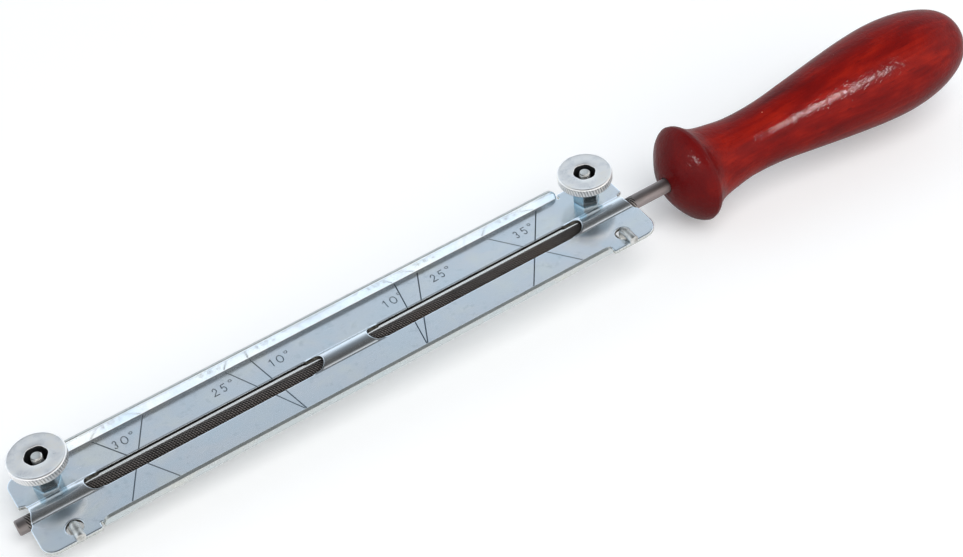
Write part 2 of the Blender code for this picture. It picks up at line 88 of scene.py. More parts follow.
def ramp(tree, value, stops):  # stops are (place, colour)
    node = add(tree, "ShaderNodeValToRGB", {"Fac": value})
    band = node.color_ramp
    while len(band.elements) < len(stops):
        band.elements.new(0.5)
    for element, (place, colour) in zip(band.elements, stops):
        element.position = place
        element.color = colour
    return node.outputs["Color"]


def cloud(tree, place, size, stretch=(1, 1, 1), turn=(0, 0, 0), seed=0, detail=2.0, rough=0.5, bend=0.0):
    # Soft noise whose features are about size across, drawn out where stretch is under 1
    moved = add(tree, "ShaderNodeMapping", {"Vector": place, "Rotation": turn, "Scale": stretch,
                                            "Location": (seed * 0.37, seed * 0.21, seed * 0.13)})
    values = {"Vector": moved.outputs[0], "Scale": 1 / size, "Detail": detail, "Roughness": rough,
              "Distortion": bend}
    return add(tree, "ShaderNodeTexNoise", values).outputs["Fac"]


def split(tree, vector):
    return add(tree, "ShaderNodeSeparateXYZ", {0: vector}).outputs


def relief(tree, height, depth, under=None):  # a bump of that depth in metres
    values = {"Height": height, "Distance": depth}
    if under is not None:
        values["Normal"] = under
    return add(tree, "ShaderNodeBump", values).outputs["Normal"]


def inGroove(tree):  # how deep in a cut groove the surface lies, from the grooves' own tree
    return add(tree, "ShaderNodeAttribute", attribute_name="grooved").outputs["Fac"]


def newMaterial(name):
    material = bpy.data.materials.new(name)
    material.use_nodes = True
    tree = material.node_tree
    shader = next(n for n in tree.nodes if n.type == "BSDF_PRINCIPLED")
    place = add(tree, "ShaderNodeTexCoord").outputs["Object"]
    return material, tree, shader, place


def dress(tree, shader, base, roughness, metal, normal):
    values = {"Base Color": base, "Roughness": roughness, "Metallic": metal, "Normal": normal}
    for name, value in values.items():
        plug(tree, shader.inputs[name], value)


def bakedObject(holder, name):  # the evaluated shape as a plain mesh object; the holder goes
    graph = bpy.context.evaluated_depsgraph_get()
    mesh = bpy.data.meshes.new_from_object(holder.evaluated_get(graph))
    mesh.name = name
    old = holder.data
    bpy.data.objects.remove(holder, do_unlink=True)
    if old.users == 0 and isinstance(old, bpy.types.Mesh):
        bpy.data.meshes.remove(old)
    return holderOf(mesh, name)


def holderOf(data, name="holder"):  # an object in the scene that shows the mesh, light or camera
    item = bpy.data.objects.new(name, data)
    scene.collection.objects.link(item)
    return item


def shadeByAngle(item, degrees, weighted=True):  # smooth faces, with the real corners left sharp
    mesh = item.data
    mesh.polygons.foreach_set("use_smooth", [True] * len(mesh.polygons))
    mesh.set_sharp_from_angle(angle=radians(degrees))
    if not weighted:
        return item
    name = item.name
    step = item.modifiers.new("weighted", "WEIGHTED_NORMAL")
    step.keep_sharp = True
    item.name = name + "Raw"
    return bakedObject(item, name)


def meshFrom(work, name):  # the built shape as a mesh, its faces turned outward
    bmesh.ops.recalc_face_normals(work, faces=work.faces)
    mesh = bpy.data.meshes.new(name)
    work.to_mesh(mesh)
    work.free()
    return mesh


def ringMesh(name, rings, closed=False):  # faces between rings of the same number of points, or of one point
    work = bmesh.new()
    rows = [[work.verts.new(point) for point in ring] for ring in rings]
    pairs = list(zip(rows, rows[1:])) + ([(rows[-1], rows[0])] if closed else [])
    for low, high in pairs:
        count = max(len(low), len(high))
        for i in range(count):
            j = (i + 1) % count
            if len(low) == 1:
                work.faces.new((low[0], high[j], high[i]))
            elif len(high) == 1:
                work.faces.new((low[i], low[j], high[0]))
            else:
                work.faces.new((low[i], low[j], high[j], high[i]))
    return meshFrom(work, name)


def arcPoints(centre, radius, start, end, steps):
    x, y = centre
    turns = [start + (end - start) * i / steps for i in range(steps + 1)]
    return [(x + radius * cos(a), y + radius * sin(a)) for a in turns]


def roundedOutline(corners, steps=6):  # the outline through (x, y, radius) corners
    points = []
    for i, (x, y, radius) in enumerate(corners):
        if radius <= 0:
            points.append((x, y))
            continue
        before, after = corners[i - 1], corners[(i + 1) % len(corners)]
        toBefore = atan2(before[1] - y, before[0] - x)
        toAfter = atan2(after[1] - y, after[0] - x)
        half = ((toAfter - toBefore + pi) % (2 * pi) - pi) / 2
        reach = radius / abs(sin(half))
        centre = (x + reach * cos(toBefore + half), y + reach * sin(toBefore + half))
        turn = copysign(pi / 2 - abs(half), half)
        middle = toBefore + half + pi
        points += arcPoints(centre, radius, middle + turn, middle - turn, steps)
    return points


# Geometry node trees, with named inputs


def newTree(name, inputs):
    tree = bpy.data.node_groups.new(name, "GeometryNodeTree")
    tree.interface.new_socket("Geometry", in_out="INPUT", socket_type="NodeSocketGeometry")
    tree.interface.new_socket("Geometry", in_out="OUTPUT", socket_type="NodeSocketGeometry")
    for label, kind, value in inputs:
        socket = tree.interface.new_socket(label, in_out="INPUT", socket_type=kind)
        if value is not None:
            socket.default_value = value
    return tree, add(tree, "NodeGroupInput").outputs


def endTree(tree, geometry, material):  # every tree ends with real geometry and its material
    real = add(tree, "GeometryNodeRealizeInstances", {"Geometry": geometry})
    painted = add(tree, "GeometryNodeSetMaterial", {"Geometry": real.outputs[0], "Material": material})
    add(tree, "NodeGroupOutput", {"Geometry": painted.outputs[0]})
    return tree


def applyTree(item, tree, values):  # a nodes modifier whose inputs are set by their identifiers
    step = item.modifiers.new(tree.name, "NODES")
    step.node_group = tree
    for socket in tree.interface.items_tree:
        if socket.in_out == "INPUT" and socket.name in values:
            step[socket.identifier] = values[socket.name]


def grooveTree():
    # Grooves cut round the Z axis: so many starts side by side, a step apart along the axis
    number = "NodeSocketFloat"
    tree, given = newTree("cutGrooves", [
        ("Starts", number, 1.0), ("Step", number, 0.001), ("Depth", number, 0.0002),
        ("From", number, 0.0), ("To", number, 0.01), ("Fade", number, 0.001),
        ("Inner radius", number, 0.0), ("Outer radius", number, 1.0),
        ("Land", number, 0.1), ("Root", number, 0.1), ("Material", "NodeSocketMaterial", None)])

    def rule(operation, a, b=0.0):
        return maths(tree, operation, a, b)

    parts = split(tree, add(tree, "GeometryNodeInputPosition").outputs[0])
    angle = rule("DIVIDE", rule("ARCTAN2", parts["Y"], parts["X"]), 2 * pi)
    climb = rule("DIVIDE", parts["Z"], given["Step"])
    phase = rule("FRACT", rule("SUBTRACT", rule("MULTIPLY", angle, given["Starts"]), climb))
    slope = rule("SUBTRACT", 1.0, rule("ABSOLUTE", rule("SUBTRACT", rule("MULTIPLY", phase, 2.0), 1.0)))
    cut = spread(tree, slope, given["Land"], rule("SUBTRACT", 1.0, given["Root"]))
    rising = spread(tree, parts["Z"], given["From"], rule("ADD", given["From"], given["Fade"]), smooth=True)
    falling = spread(tree, parts["Z"], rule("SUBTRACT", given["To"], given["Fade"]), given["To"],
                     1.0, 0.0, smooth=True)
    flat = add(tree, "ShaderNodeCombineXYZ", {"X": parts["X"], "Y": parts["Y"]}).outputs[0]
    radius = add(tree, "ShaderNodeVectorMath", {0: flat}, operation="LENGTH").outputs["Value"]
    outward = add(tree, "ShaderNodeVectorMath", {0: flat}, operation="NORMALIZE").outputs[0]
    inside = rule("MULTIPLY", rule("GREATER_THAN", radius, given["Inner radius"]),
                  rule("LESS_THAN", radius, given["Outer radius"]))
    share = rule("MULTIPLY", rule("MULTIPLY", cut, inside), rule("MULTIPLY", rising, falling))
    before = add(tree, "GeometryNodeInputNamedAttribute", {"Name": "grooved"}, data_type="FLOAT").outputs[0]
    kept = add(tree, "GeometryNodeStoreNamedAttribute",
               {"Geometry": given["Geometry"], "Name": "grooved", "Value": rule("MAXIMUM", share, before)},
               data_type="FLOAT", domain="POINT").outputs[0]
    depth = rule("MULTIPLY", rule("MULTIPLY", share, given["Depth"]), -1.0)
    shift = add(tree, "ShaderNodeVectorMath", {0: outward, 3: depth}, operation="SCALE").outputs[0]
    moved = add(tree, "GeometryNodeSetPosition", {"Geometry": kept, "Offset": shift})
    return endTree(tree, moved.outputs[0], given["Material"])


def wireTree():
    # A round wire along a line of points, whose radius comes from the line's own attribute
    tree, given = newTree("bentWire", [
        ("Sides", "NodeSocketInt", 32), ("Material", "NodeSocketMaterial", None)])
    line = add(tree, "GeometryNodeMeshToCurve", {"Mesh": given["Geometry"]}).outputs[0]
    ring = add(tree, "GeometryNodeCurvePrimitiveCircle", {"Resolution": given["Sides"], "Radius": 1.0})
    size = add(tree, "GeometryNodeInputNamedAttribute", {"Name": "wireRadius"}, data_type="FLOAT")
    values = {"Curve": line, "Profile Curve": ring.outputs[0], "Scale": size.outputs[0], "Fill Caps": True}
    wire = add(tree, "GeometryNodeCurveToMesh", values).outputs[0]
    return endTree(tree, wire, given["Material"])


grooves = grooveTree()
bentWire = wireTree()
print("node trees built")

# Materials

zincLook = Named(
    blue=shade(228, 240, 249), rose=shade(236, 241, 247), straw=shade(246, 248, 243),
    scuff=shade(250, 252, 255), stain=shade(168, 180, 188), pressed=shade(160, 163, 164),
    patch=0.011, drift=0.030, wave=0.012, waveDepth=0.00003,
    grain=0.00035, grainDepth=0.0000012, scratch=0.00022, scratchDepth=0.0000030,
    flankFrom=(0.0010, 0.0026), flankTo=(0.0055, 0.0060), flankUp=(0.0024, 0.0029),
    roughLow=0.13, roughHigh=0.24, metal=0.96)


def zincSheet(name, look):
    # Bluish zinc plating: tinted clouds, rubbed patches, thin scratches each way, a fine grain, and
    # painted shade on the channel's flanks, stronger or weaker with the rubbed patches
    material, tree, shader, place = newMaterial(name)
    tint = cloud(tree, place, look.patch, seed=1, detail=3, rough=0.55, bend=0.4)
    base = ramp(tree, tint, [(0.30, look.blue), (0.52, look.rose), (0.74, look.straw)])
    wide = cloud(tree, place, look.drift, seed=4, detail=2)
    base = blend(tree, spread(tree, wide, 0.35, 0.70, 0.0, 0.75), base, look.blue)
    rubbed = cloud(tree, place, look.patch * 0.4, seed=7, detail=5, rough=0.62)
    lineA = cloud(tree, place, look.scratch, stretch=(0.030, 1, 1), turn=(0, 0, 0.35), seed=2, detail=2)
    lineB = cloud(tree, place, look.scratch, stretch=(0.022, 1, 1), turn=(0, 0, -0.6), seed=3, detail=2)
    lines = maths(tree, "MAXIMUM", spread(tree, lineA, 0.66, 0.74), spread(tree, lineB, 0.68, 0.76))
    base = blend(tree, lines, base, look.scuff, 0.25)
    stain = spread(tree, cloud(tree, place, look.patch * 0.22, seed=9, detail=4), 0.58, 0.76, 0.0, 0.20)
    base = blend(tree, stain, base, look.stain)
    parts = split(tree, place)
    across = maths(tree, "ABSOLUTE", parts["Y"])
    # painted shade: the channel's flanks above the deck are darkened, varied by the rubbed cloud
    beside = product(tree, spread(tree, across, *look.flankFrom),
                     spread(tree, across, *look.flankTo, 1.0, 0.0))
    flank = product(tree, beside, spread(tree, parts["Z"], *look.flankUp, smooth=True))
    shadeBreakup = spread(tree, rubbed, 0.25, 0.65, 0.6, 1.0)
    base = blend(tree, product(tree, flank, shadeBreakup), base, look.pressed)
    roughness = spread(tree, rubbed, 0.30, 0.70, look.roughLow, look.roughHigh)
    roughness = maths(tree, "ADD", roughness, product(tree, lines, 0.06))
    swell = relief(tree, cloud(tree, place, look.wave, seed=11, detail=1), look.waveDepth)
    fine = cloud(tree, place, look.grain, seed=5, detail=4, rough=0.6)
    grain = relief(tree, fine, look.grainDepth, swell)
    dress(tree, shader, base, roughness, look.metal, relief(tree, lines, -look.scratchDepth, grain))
    return material


edgeLook = Named(
    tone=shade(214, 216, 212), dark=shade(140, 144, 142), tear=0.00030, tearPatch=0.0027,
    tearDepth=0.000020)


def shearedEdge(name, look):
    # The punched wall of the sheet: torn lines through its thickness, darker in patches
    material, tree, shader, place = newMaterial(name)
    tears = cloud(tree, place, look.tear, stretch=(1, 1, 0.18), seed=3, detail=4, rough=0.65)
    patches = cloud(tree, place, look.tearPatch, seed=6, detail=3)
    torn = product(tree, spread(tree, tears, 0.40, 0.70), spread(tree, patches, 0.3, 0.7, 0.4, 1.0))
    base = blend(tree, torn, look.tone, look.dark)
    roughness = spread(tree, tears, 0.3, 0.7, 0.32, 0.55)
    dress(tree, shader, base, roughness, 1.0, relief(tree, tears, look.tearDepth))
    return material


wheelLook = Named(
    tone=shade(250, 249, 248), warm=shade(254, 250, 243), dull=shade(228, 229, 231),
    nick=shade(110, 112, 118), groove=shade(84, 86, 92), smudge=0.0042, smudgeDepth=0.000012,
    nickSize=0.0009, grain=0.00018, grainDepth=0.0000030, roughLow=0.26, roughHigh=0.42,
    metal=0.90)


def turnedSteel(name, look):
    # Plated steel: soft smudges, a few nicks, a fine grain, and painted shade in the cut grooves
    material, tree, shader, place = newMaterial(name)
    smudge = cloud(tree, place, look.smudge, seed=2, detail=4, rough=0.6)
    base = ramp(tree, smudge, [(0.30, look.dull), (0.50, look.tone), (0.72, look.warm)])
    nick = spread(tree, cloud(tree, place, look.nickSize, seed=8, detail=3), 0.70, 0.76, 0.0, 0.35)
    base = blend(tree, nick, base, look.nick)
    base = blend(tree, inGroove(tree), base, look.groove, 0.50)
    fine = cloud(tree, place, look.grain, seed=5, detail=3, rough=0.6)
    mixed = maths(tree, "ADD", product(tree, smudge, 0.7), product(tree, fine, 0.3))
    roughness = spread(tree, mixed, 0.32, 0.68, look.roughLow, look.roughHigh)
    dents = relief(tree, smudge, look.smudgeDepth)
    dress(tree, shader, base, roughness, look.metal, relief(tree, fine, look.grainDepth, dents))
    return material


wireLook = Named(
    tone=shade(196, 195, 190), dull=shade(128, 126, 122), bright=shade(232, 232, 230),
    pit=shade(86, 88, 86), groove=shade(62, 62, 60), patch=0.0024, pitSize=0.0005,
    pitDepth=0.000010, drawn=0.00022, drawnDepth=0.0000040)


def platedWire(name, look):
    # Drawn wire under its plating: faint lines along it, dull patches, small pits, and painted shade in the
    # thread roots
    material, tree, shader, place = newMaterial(name)
    patch = cloud(tree, place, look.patch, seed=3, detail=4, rough=0.6)
    base = ramp(tree, patch, [(0.30, look.dull), (0.50, look.tone), (0.70, look.bright)])
    pits = spread(tree, cloud(tree, place, look.pitSize, seed=6, detail=3), 0.66, 0.74)
    base = blend(tree, pits, base, look.pit, 0.4)
    base = blend(tree, inGroove(tree), base, look.groove, 0.85)
    roughness = spread(tree, patch, 0.3, 0.7, 0.24, 0.42)
    lines = cloud(tree, place, look.drawn, stretch=(1, 0.12, 0.12), seed=4, detail=2)
    drawn = relief(tree, lines, look.drawnDepth)
    dress(tree, shader, base, roughness, 1.0, relief(tree, pits, -look.pitDepth, drawn))
    return material


fileLook = Named(
    tone=shade(168, 160, 156), brown=shade(176, 162, 152), dark=shade(136, 130, 127),
    shank=shade(152, 144, 142), shankPink=shade(172, 158, 156), root=shade(46, 44, 43),
    crest=shade(176, 170, 166), haze=0.0075, spark=0.00042, chip=0.00025, chipDepth=0.000012,
    pitch=0.00078, pitchStarts=9.0, toothDepth=0.00006, drawn=0.00016, drawnDepth=0.000004)


def fileSteel(name, look, toothed):
    # Hardened file steel under oil-brown clouds: painted shade in the teeth's roots and painted glints on
    # their crests, or the shank's drawn lines
    material, tree, shader, place = newMaterial(name)
    haze = cloud(tree, place, look.haze, stretch=(0.35, 1, 1), seed=2, detail=4, rough=0.6)
    if toothed:
        base = ramp(tree, haze, [(0.28, look.dark), (0.50, look.tone), (0.74, look.brown)])
        cut = inGroove(tree)
        # painted shade in the cut grooves, and painted glints on the lands between them
        base = blend(tree, spread(tree, cut, 0.45, 1.0), base, look.root)
        spark = spread(tree, cloud(tree, place, look.spark, seed=9, detail=2), 0.52, 0.66)
        spark = product(tree, spark, spread(tree, cut, 0.05, 0.30, 1.0, 0.0))
        base = blend(tree, spark, base, look.crest, 0.75)
        parts = split(tree, place)
        around = maths(tree, "DIVIDE", maths(tree, "ARCTAN2", parts["Y"], parts["Z"]), 2 * pi)
        along = maths(tree, "DIVIDE", parts["X"], look.pitch)
        turn = maths(tree, "ADD", along, product(tree, around, look.pitchStarts))
        tooth = maths(tree, "PINGPONG", turn, 0.5)
        # painted shade along the drawn tooth rows
        base = blend(tree, spread(tree, tooth, 0.20, 0.34, 0.0, 0.95), base, look.root)
        roughness = spread(tree, haze, 0.3, 0.7, 0.52, 0.66)
        chips = relief(tree, cloud(tree, place, look.chip, seed=5, detail=3), look.chipDepth)
        normal = relief(tree, tooth, -look.toothDepth, chips)
    else:
        base = ramp(tree, haze, [(0.28, look.dark), (0.50, look.shank), (0.74, look.shankPink)])
        drawn = cloud(tree, place, look.drawn, stretch=(0.02, 1, 1), seed=5, detail=3)
        base = blend(tree, spread(tree, drawn, 0.55, 0.72, 0.0, 0.35), base, look.dark)
        roughness = spread(tree, drawn, 0.3, 0.7, 0.42, 0.56)
        normal = relief(tree, drawn, look.drawnDepth)
    dress(tree, shader, base, roughness, 1.0, normal)
    return material


lacquerLook = Named(
    deep=shade(60, 6, 7), red=shade(90, 10, 7), glow=shade(121, 22, 9), endGrain=shade(68, 8, 10),
    pore=shade(58, 4, 6), nib=shade(206, 130, 104), collarX=(0.0610, 0.0670),
    buttX=(0.1650, 0.1720), endWave=0.0015, grain=0.0022, grainDepth=0.00003, mottle=0.011,
    poreSize=0.0007, cellsPerMetre=300.0, nibDepth=0.00008, swell=0.008, swellDepth=0.00016,
    crinkle=0.0012, crinkleDepth=0.00016)


def redLacquer(name, look):
    # Wood under thick red lacquer: long grain, mottling, darker end grain at both ends (at the collar's
    # face also painted shade), pores, dust nibs and a crinkled gloss coat
    material, tree, shader, place = newMaterial(name)
    grain = cloud(tree, place, look.grain, stretch=(0.06, 1, 1), seed=3, detail=5, rough=0.6, bend=0.3)
    mottle = cloud(tree, place, look.mottle, stretch=(0.5, 1, 1), seed=8, detail=4, rough=0.55, bend=0.5)
    both = maths(tree, "ADD", product(tree, grain, 0.40), product(tree, mottle, 0.60))
    base = ramp(tree, both, [(0.28, look.deep), (0.50, look.red), (0.72, look.glow)])
    lengthwise = split(tree, place)["X"]
    wavy = maths(tree, "ADD", lengthwise, spread(tree, mottle, 0.3, 0.7, -look.endWave, look.endWave))
    # darker towards the collar's face and the butt: end grain, and painted shade on the collar's face
    front = spread(tree, wavy, *look.collarX, 0.75, 0.0, smooth=True)
    butt = spread(tree, wavy, *look.buttX, 0.0, 0.6, smooth=True)
    base = blend(tree, maths(tree, "MAXIMUM", front, butt), base, look.endGrain)
    pores = cloud(tree, place, look.poreSize, stretch=(0.07, 1, 1), seed=5, detail=3)
    base = blend(tree, spread(tree, pores, 0.62, 0.72), base, look.pore, 0.55)
    cells = add(tree, "ShaderNodeTexVoronoi", {"Vector": place, "Scale": look.cellsPerMetre}).outputs
    chance = add(tree, "ShaderNodeSeparateColor", {0: cells["Color"]}).outputs[0]
    rare = maths(tree, "GREATER_THAN", chance, 0.93)
    nib = product(tree, spread(tree, cells["Distance"], 0.03, 0.08, 1.0, 0.0), rare)
    base = blend(tree, nib, base, look.nib, 0.6)
    roughness = spread(tree, mottle, 0.3, 0.7, 0.34, 0.50)
    swell = cloud(tree, place, look.swell, stretch=(0.6, 1, 1), seed=12, detail=1)
    crinkle = cloud(tree, place, look.crinkle, stretch=(0.8, 0.8, 0.8), seed=10, detail=3, rough=0.55,
                    bend=0.8)
    coat = relief(tree, crinkle, look.crinkleDepth, relief(tree, swell, look.swellDepth))
    coat = relief(tree, nib, look.nibDepth, coat)
    for setting, value in (("Specular IOR Level", 0.02), ("Coat Weight", 0.24), ("Coat Roughness", 0.08),
                           ("Coat IOR", 1.35), ("Coat Tint", (0.50, 0.34, 0.34, 1.0)), ("Coat Normal", coat)):
        plug(tree, shader.inputs[setting], value)
    dress(tree, shader, base, roughness, 0.0, relief(tree, grain, look.grainDepth, coat))
    return material


zinc = zincSheet("zincSheet", zincLook)
sheared = shearedEdge("shearedSheetEdge", edgeLook)
# painted shade: the walls of the windows and holes get a much darker copy of the cut edge
shadedPiercedEdge = shearedEdge("piercedSheetEdgeShaded", Named(edgeLook, tone=shade(92, 90, 84), dark=shade(40, 39, 37)))
# painted shade: a darker, rougher copy of the zinc for faces that look downward
shadedUnderZinc = zincSheet("zincUndersideShaded", Named(
    zincLook, blue=shade(196, 207, 210), rose=shade(204, 208, 208), straw=shade(213, 213, 205),
    roughLow=0.20, roughHigh=0.34))
# painted shade in the cut marks: a darker copy of the zinc, also rougher
shadedMarkZinc = zincSheet("zincInMarksShaded", Named(
    zincLook, blue=shade(142, 156, 166), rose=shade(150, 156, 162), straw=shade(160, 162, 158),
    roughLow=0.34, roughHigh=0.46, metal=1.0))
hubZinc = zincSheet("zincHub", Named(
    zincLook, blue=shade(156, 186, 198), rose=shade(184, 200, 206), straw=shade(206, 214, 212),
    patch=0.0035, drift=0.009, wave=0.004, waveDepth=0.00002,
    roughLow=0.12, roughHigh=0.24, metal=1.0))
wheelSteel = turnedSteel("platedWheelSteel", wheelLook)
# painted shade in the deep socket: a dark copy of the wheel steel
shadedSocketSteel = turnedSteel("socketSteelShaded", Named(
    wheelLook, tone=shade(96, 98, 100), warm=shade(108, 108, 106), dull=shade(66, 68, 70),
    roughLow=0.40, roughHigh=0.56))
# painted shade under the disc: a darker, rougher copy of the wheel steel
shadedUndersideSteel = turnedSteel("undersideSteelShaded", Named(
    wheelLook, tone=shade(200, 206, 208), warm=shade(206, 208, 206), dull=shade(168, 174, 178),
    roughLow=0.36, roughHigh=0.5, metal=1.0))
wire = platedWire("platedWire", wireLook)
# painted light: a brighter copy of the wire for the stud's upper part
litStudSteel = platedWire("threadSteelLit", Named(
    wireLook, tone=shade(240, 240, 236), dull=shade(206, 206, 202), bright=shade(250, 250, 248),
    groove=shade(104, 104, 100)))
teeth = fileSteel("fileTeeth", fileLook, True)
shank = fileSteel("fileShank", fileLook, False)
lacquer = redLacquer("redLacquer", lacquerLook)
print("materials built")

# Shared places, along the file's axis

guideX = -0.0667
deckZ = 0.0023
clampX = {"front": -0.1602, "rear": 0.0268}
studY = 0.0087

# The pressed sheet guide: a flat blank with rounded edges and cut marks, bent up by rule

guide = Named(
    sheet=0.0013, length=0.2082, width=0.0325, corner=0.0050, tipCorner=0.0040,
    channelRadius=0.00398, channelFillet=0.0007, pullIn=0.0021, nearPullIn=0.0007,
    mouthSlope=0.0007, mouthCorner=0.0006, windowWidth=0.0061, windowLength=0.0774,
    windowSpacing=0.0930, runoutFrom=0.0115, runoutTo=0.0133, flangeLength=0.1724,
    bendAt=0.014375, bendRadius=0.0005, bendTurn=radians(76), flangeStraight=0.00301,
    flangeCorner=0.0024, notch=0.0007, notchDepth=0.0142, notchCorner=0.00025,
    topEdge=0.00050, rimEdge=0.00042, edgeDrop=0.58, underEdge=0.00012, reliefCorner=0.0007,
    studHole=0.0046, hookHole=0.0052, hookHoleY=-0.0112, linesAcross=(0.006, 0.010),
    linesAlong=(0.03, 0.0465, 0.063))
bendLength = guide.bendRadius * guide.bendTurn

# The centre of the small round between channel and flat sheet, and the angle at which it meets the channel
filletZ = deckZ + guide.channelFillet
filletY = sqrt((guide.channelRadius + guide.channelFillet) ** 2 - filletZ ** 2)
filletTurn = atan2(filletZ, filletY)

# The sheet's faces by kind, each with its material
sheetSides = {"face": zinc, "edge": sheared, "mark": shadedMarkZinc, "rim": shadedPiercedEdge, "under": shadedUnderZinc}
sideIndex = {side: index for index, side in enumerate(sheetSides)}

# Marks: lines (x, degrees) that cross the channel, fans (x, side) from the near edge, numbers (text, x, y)
marks = Named(
    lineWidth=0.00042, lineDepth=0.00024, lineReach=0.0141, digitWidth=0.00038,
    digitDepth=0.00018, ringWidth=0.00030, ringDepth=0.00018, ringRadius=0.00048,
    ringAfter=0.0026, ringUp=0.98, height=0.0030, across=0.0019, advance=0.0029,
    crossings=[(-0.0690, 30), (0.0679, 35)], fans=[(-0.0203, -1), (0.0203, 1)], fanAngles=(10, 25),
    numbers=[("30", -0.0720, 0.0073), ("25", -0.0395, 0.0074), ("10", -0.0207, 0.0073),
             ("10", 0.0187, 0.0071), ("25", 0.0363, 0.0075), ("35", 0.0669, 0.0074)])

# Each figure as lines in a box of width and height 1
strokes = {
    "0": [arcPoints((0.5, 0.5), 0.5, 0.5 * pi, 2.5 * pi, 16)],
    "1": [[(0.30, 0.80), (0.62, 1.0), (0.62, 0.0)]],
    "2": [arcPoints((0.5, 0.70), 0.30, 0.95 * pi, -0.15 * pi, 9) + [(0.06, 0.0), (0.94, 0.0)]],
    "3": [arcPoints((0.46, 0.74), 0.26, 0.85 * pi, -0.5 * pi, 8)
          + arcPoints((0.46, 0.25), 0.25, 0.5 * pi, -0.85 * pi, 8)],
    "5": [[(0.86, 1.0), (0.24, 1.0), (0.16, 0.58)]
          + arcPoints((0.46, 0.33), 0.33, 0.75 * pi, -0.8 * pi, 9)]}


def insetLoop(loop, distance):  # the loop moved to its left by the distance
    moved = []
    for i, (x, y) in enumerate(loop):
        before, after = loop[i - 1], loop[(i + 1) % len(loop)]
        a = Vector((x - before[0], y - before[1])).normalized()
        b = Vector((after[0] - x, after[1] - y)).normalized()
        normal = Vector((-a.y - b.y, a.x + b.x)).normalized()
        reach = distance / max(normal.dot(Vector((-a.y, a.x))), 0.35)
        moved.append((x + normal.x * reach, y + normal.y * reach))
    return moved


def blankLoops():  # the outer edge anticlockwise, then the holes clockwise
    half, edge = guide.length / 2, guide.width / 2
    flange = guide.flangeLength / 2
    top = guide.bendAt + bendLength + guide.flangeStraight
    mouth = guide.channelRadius + guide.mouthSlope
    small, inner = guide.mouthCorner, guide.notchCorner
    end = [(half, edge, guide.corner), (half, mouth, small),
           (half - guide.pullIn, guide.channelRadius, small), (half - guide.pullIn, -small, small),
           (half - guide.nearPullIn, -guide.channelRadius, small), (half, -mouth, small),
           (half, -edge, guide.corner)]
    tip = [(-x, y, guide.tipCorner if r == guide.corner else r) for x, y, r in end]
    past = flange + guide.notch

    def side(sign, across):  # notch, flange and notch along one long edge
        rows = [(past, edge, guide.reliefCorner), (past, guide.notchDepth, inner),
                (flange, guide.notchDepth, inner), (flange, top, guide.flangeCorner)]
        rows = rows + [(-x, y, r) for x, y, r in rows[::-1]]
        return [(sign * x, across * y, r) for x, y, r in rows]

    outer = roundedOutline(side(1, 1) + tip + side(-1, -1) + end[::-1], 5)
    holes = []
    radius = guide.windowWidth / 2
    straight = guide.windowLength / 2 - radius
    for sign in (-1, 1):
        middle = sign * guide.windowSpacing / 2
        loop = arcPoints((middle + straight, 0), radius, -pi / 2, pi / 2, 14)
        loop += arcPoints((middle - straight, 0), radius, pi / 2, 1.5 * pi, 14)
        holes.append(loop[::-1])
    for x in clampX.values():
        for y, size in ((guide.hookHoleY, guide.hookHole), (studY, guide.studHole)):
            holes.append(arcPoints((x - guideX, y), size / 2, 0, 2 * pi, 40)[:-1][::-1])
    return [outer] + holes


def flatBlank():
    sheet, under = guide.sheet, guide.underEdge
    turns = [pi / 10 * i for i in range(6)]
    work = bmesh.new()
    topEdges, lowEdges = [], []
    for n, loop in enumerate(blankLoops()):
        top, wall = (guide.rimEdge, "rim") if n else (guide.topEdge, "edge")
        drop = top * guide.edgeDrop
        profile = [(top * (1 - sin(a)), -drop * (1 - cos(a))) for a in turns]
        profile += [(0, -sheet * 0.45), (0, under - sheet), (under * 0.3, under * 0.3 - sheet),
                    (under, -sheet)]
        rows = []
        for inset, depth in profile:
            rows.append([work.verts.new((x, y, depth)) for x, y in insetLoop(loop, inset)])
        for k, (high, low) in enumerate(zip(rows, rows[1:])):
            for i in range(len(high)):
                j = (i + 1) % len(high)
                face = work.faces.new((high[i], low[i], low[j], high[j]))
                face.material_index = sideIndex[wall if k >= 4 else "face"]
        for row, edges in ((rows[0], topEdges), (rows[-1], lowEdges)):
            edges += [work.edges.get((row[i], row[(i + 1) % len(row)])) for i in range(len(row))]
    for edges in (topEdges, lowEdges):
        bmesh.ops.triangle_fill(work, use_beauty=True, edges=edges)
    return meshFrom(work, "blank")


def markPaths():  # every stroke as its points and its kind
    paths = []
    reach = marks.lineReach
    for x, degrees in marks.crossings:
        lean = tan(radians(degrees)) * reach
        for sign in (-1, 1):
            paths.append(([(x - sign * lean, -reach), (x + sign * lean, reach)], "line"))
    for x, side in marks.fans:
        for degrees in marks.fanAngles:
            lean = side * tan(radians(degrees)) * 2 * reach
            paths.append(([(x, -reach), (x + lean, reach)], "line"))
    for text, x, y in marks.numbers:
        for k, digit in enumerate(text):
            left = x - marks.across / 2 + k * marks.advance
            for line in strokes[digit]:
                spots = [(left + a * marks.across, y + b * marks.height) for a, b in line]
                paths.append((spots, "digit"))
        ringX = x + (len(text) - 1) * marks.advance + marks.ringAfter
        ring = (ringX, y + marks.height * marks.ringUp)
        paths.append((arcPoints(ring, marks.ringRadius, 0, 2 * pi, 10), "ring"))
    return paths


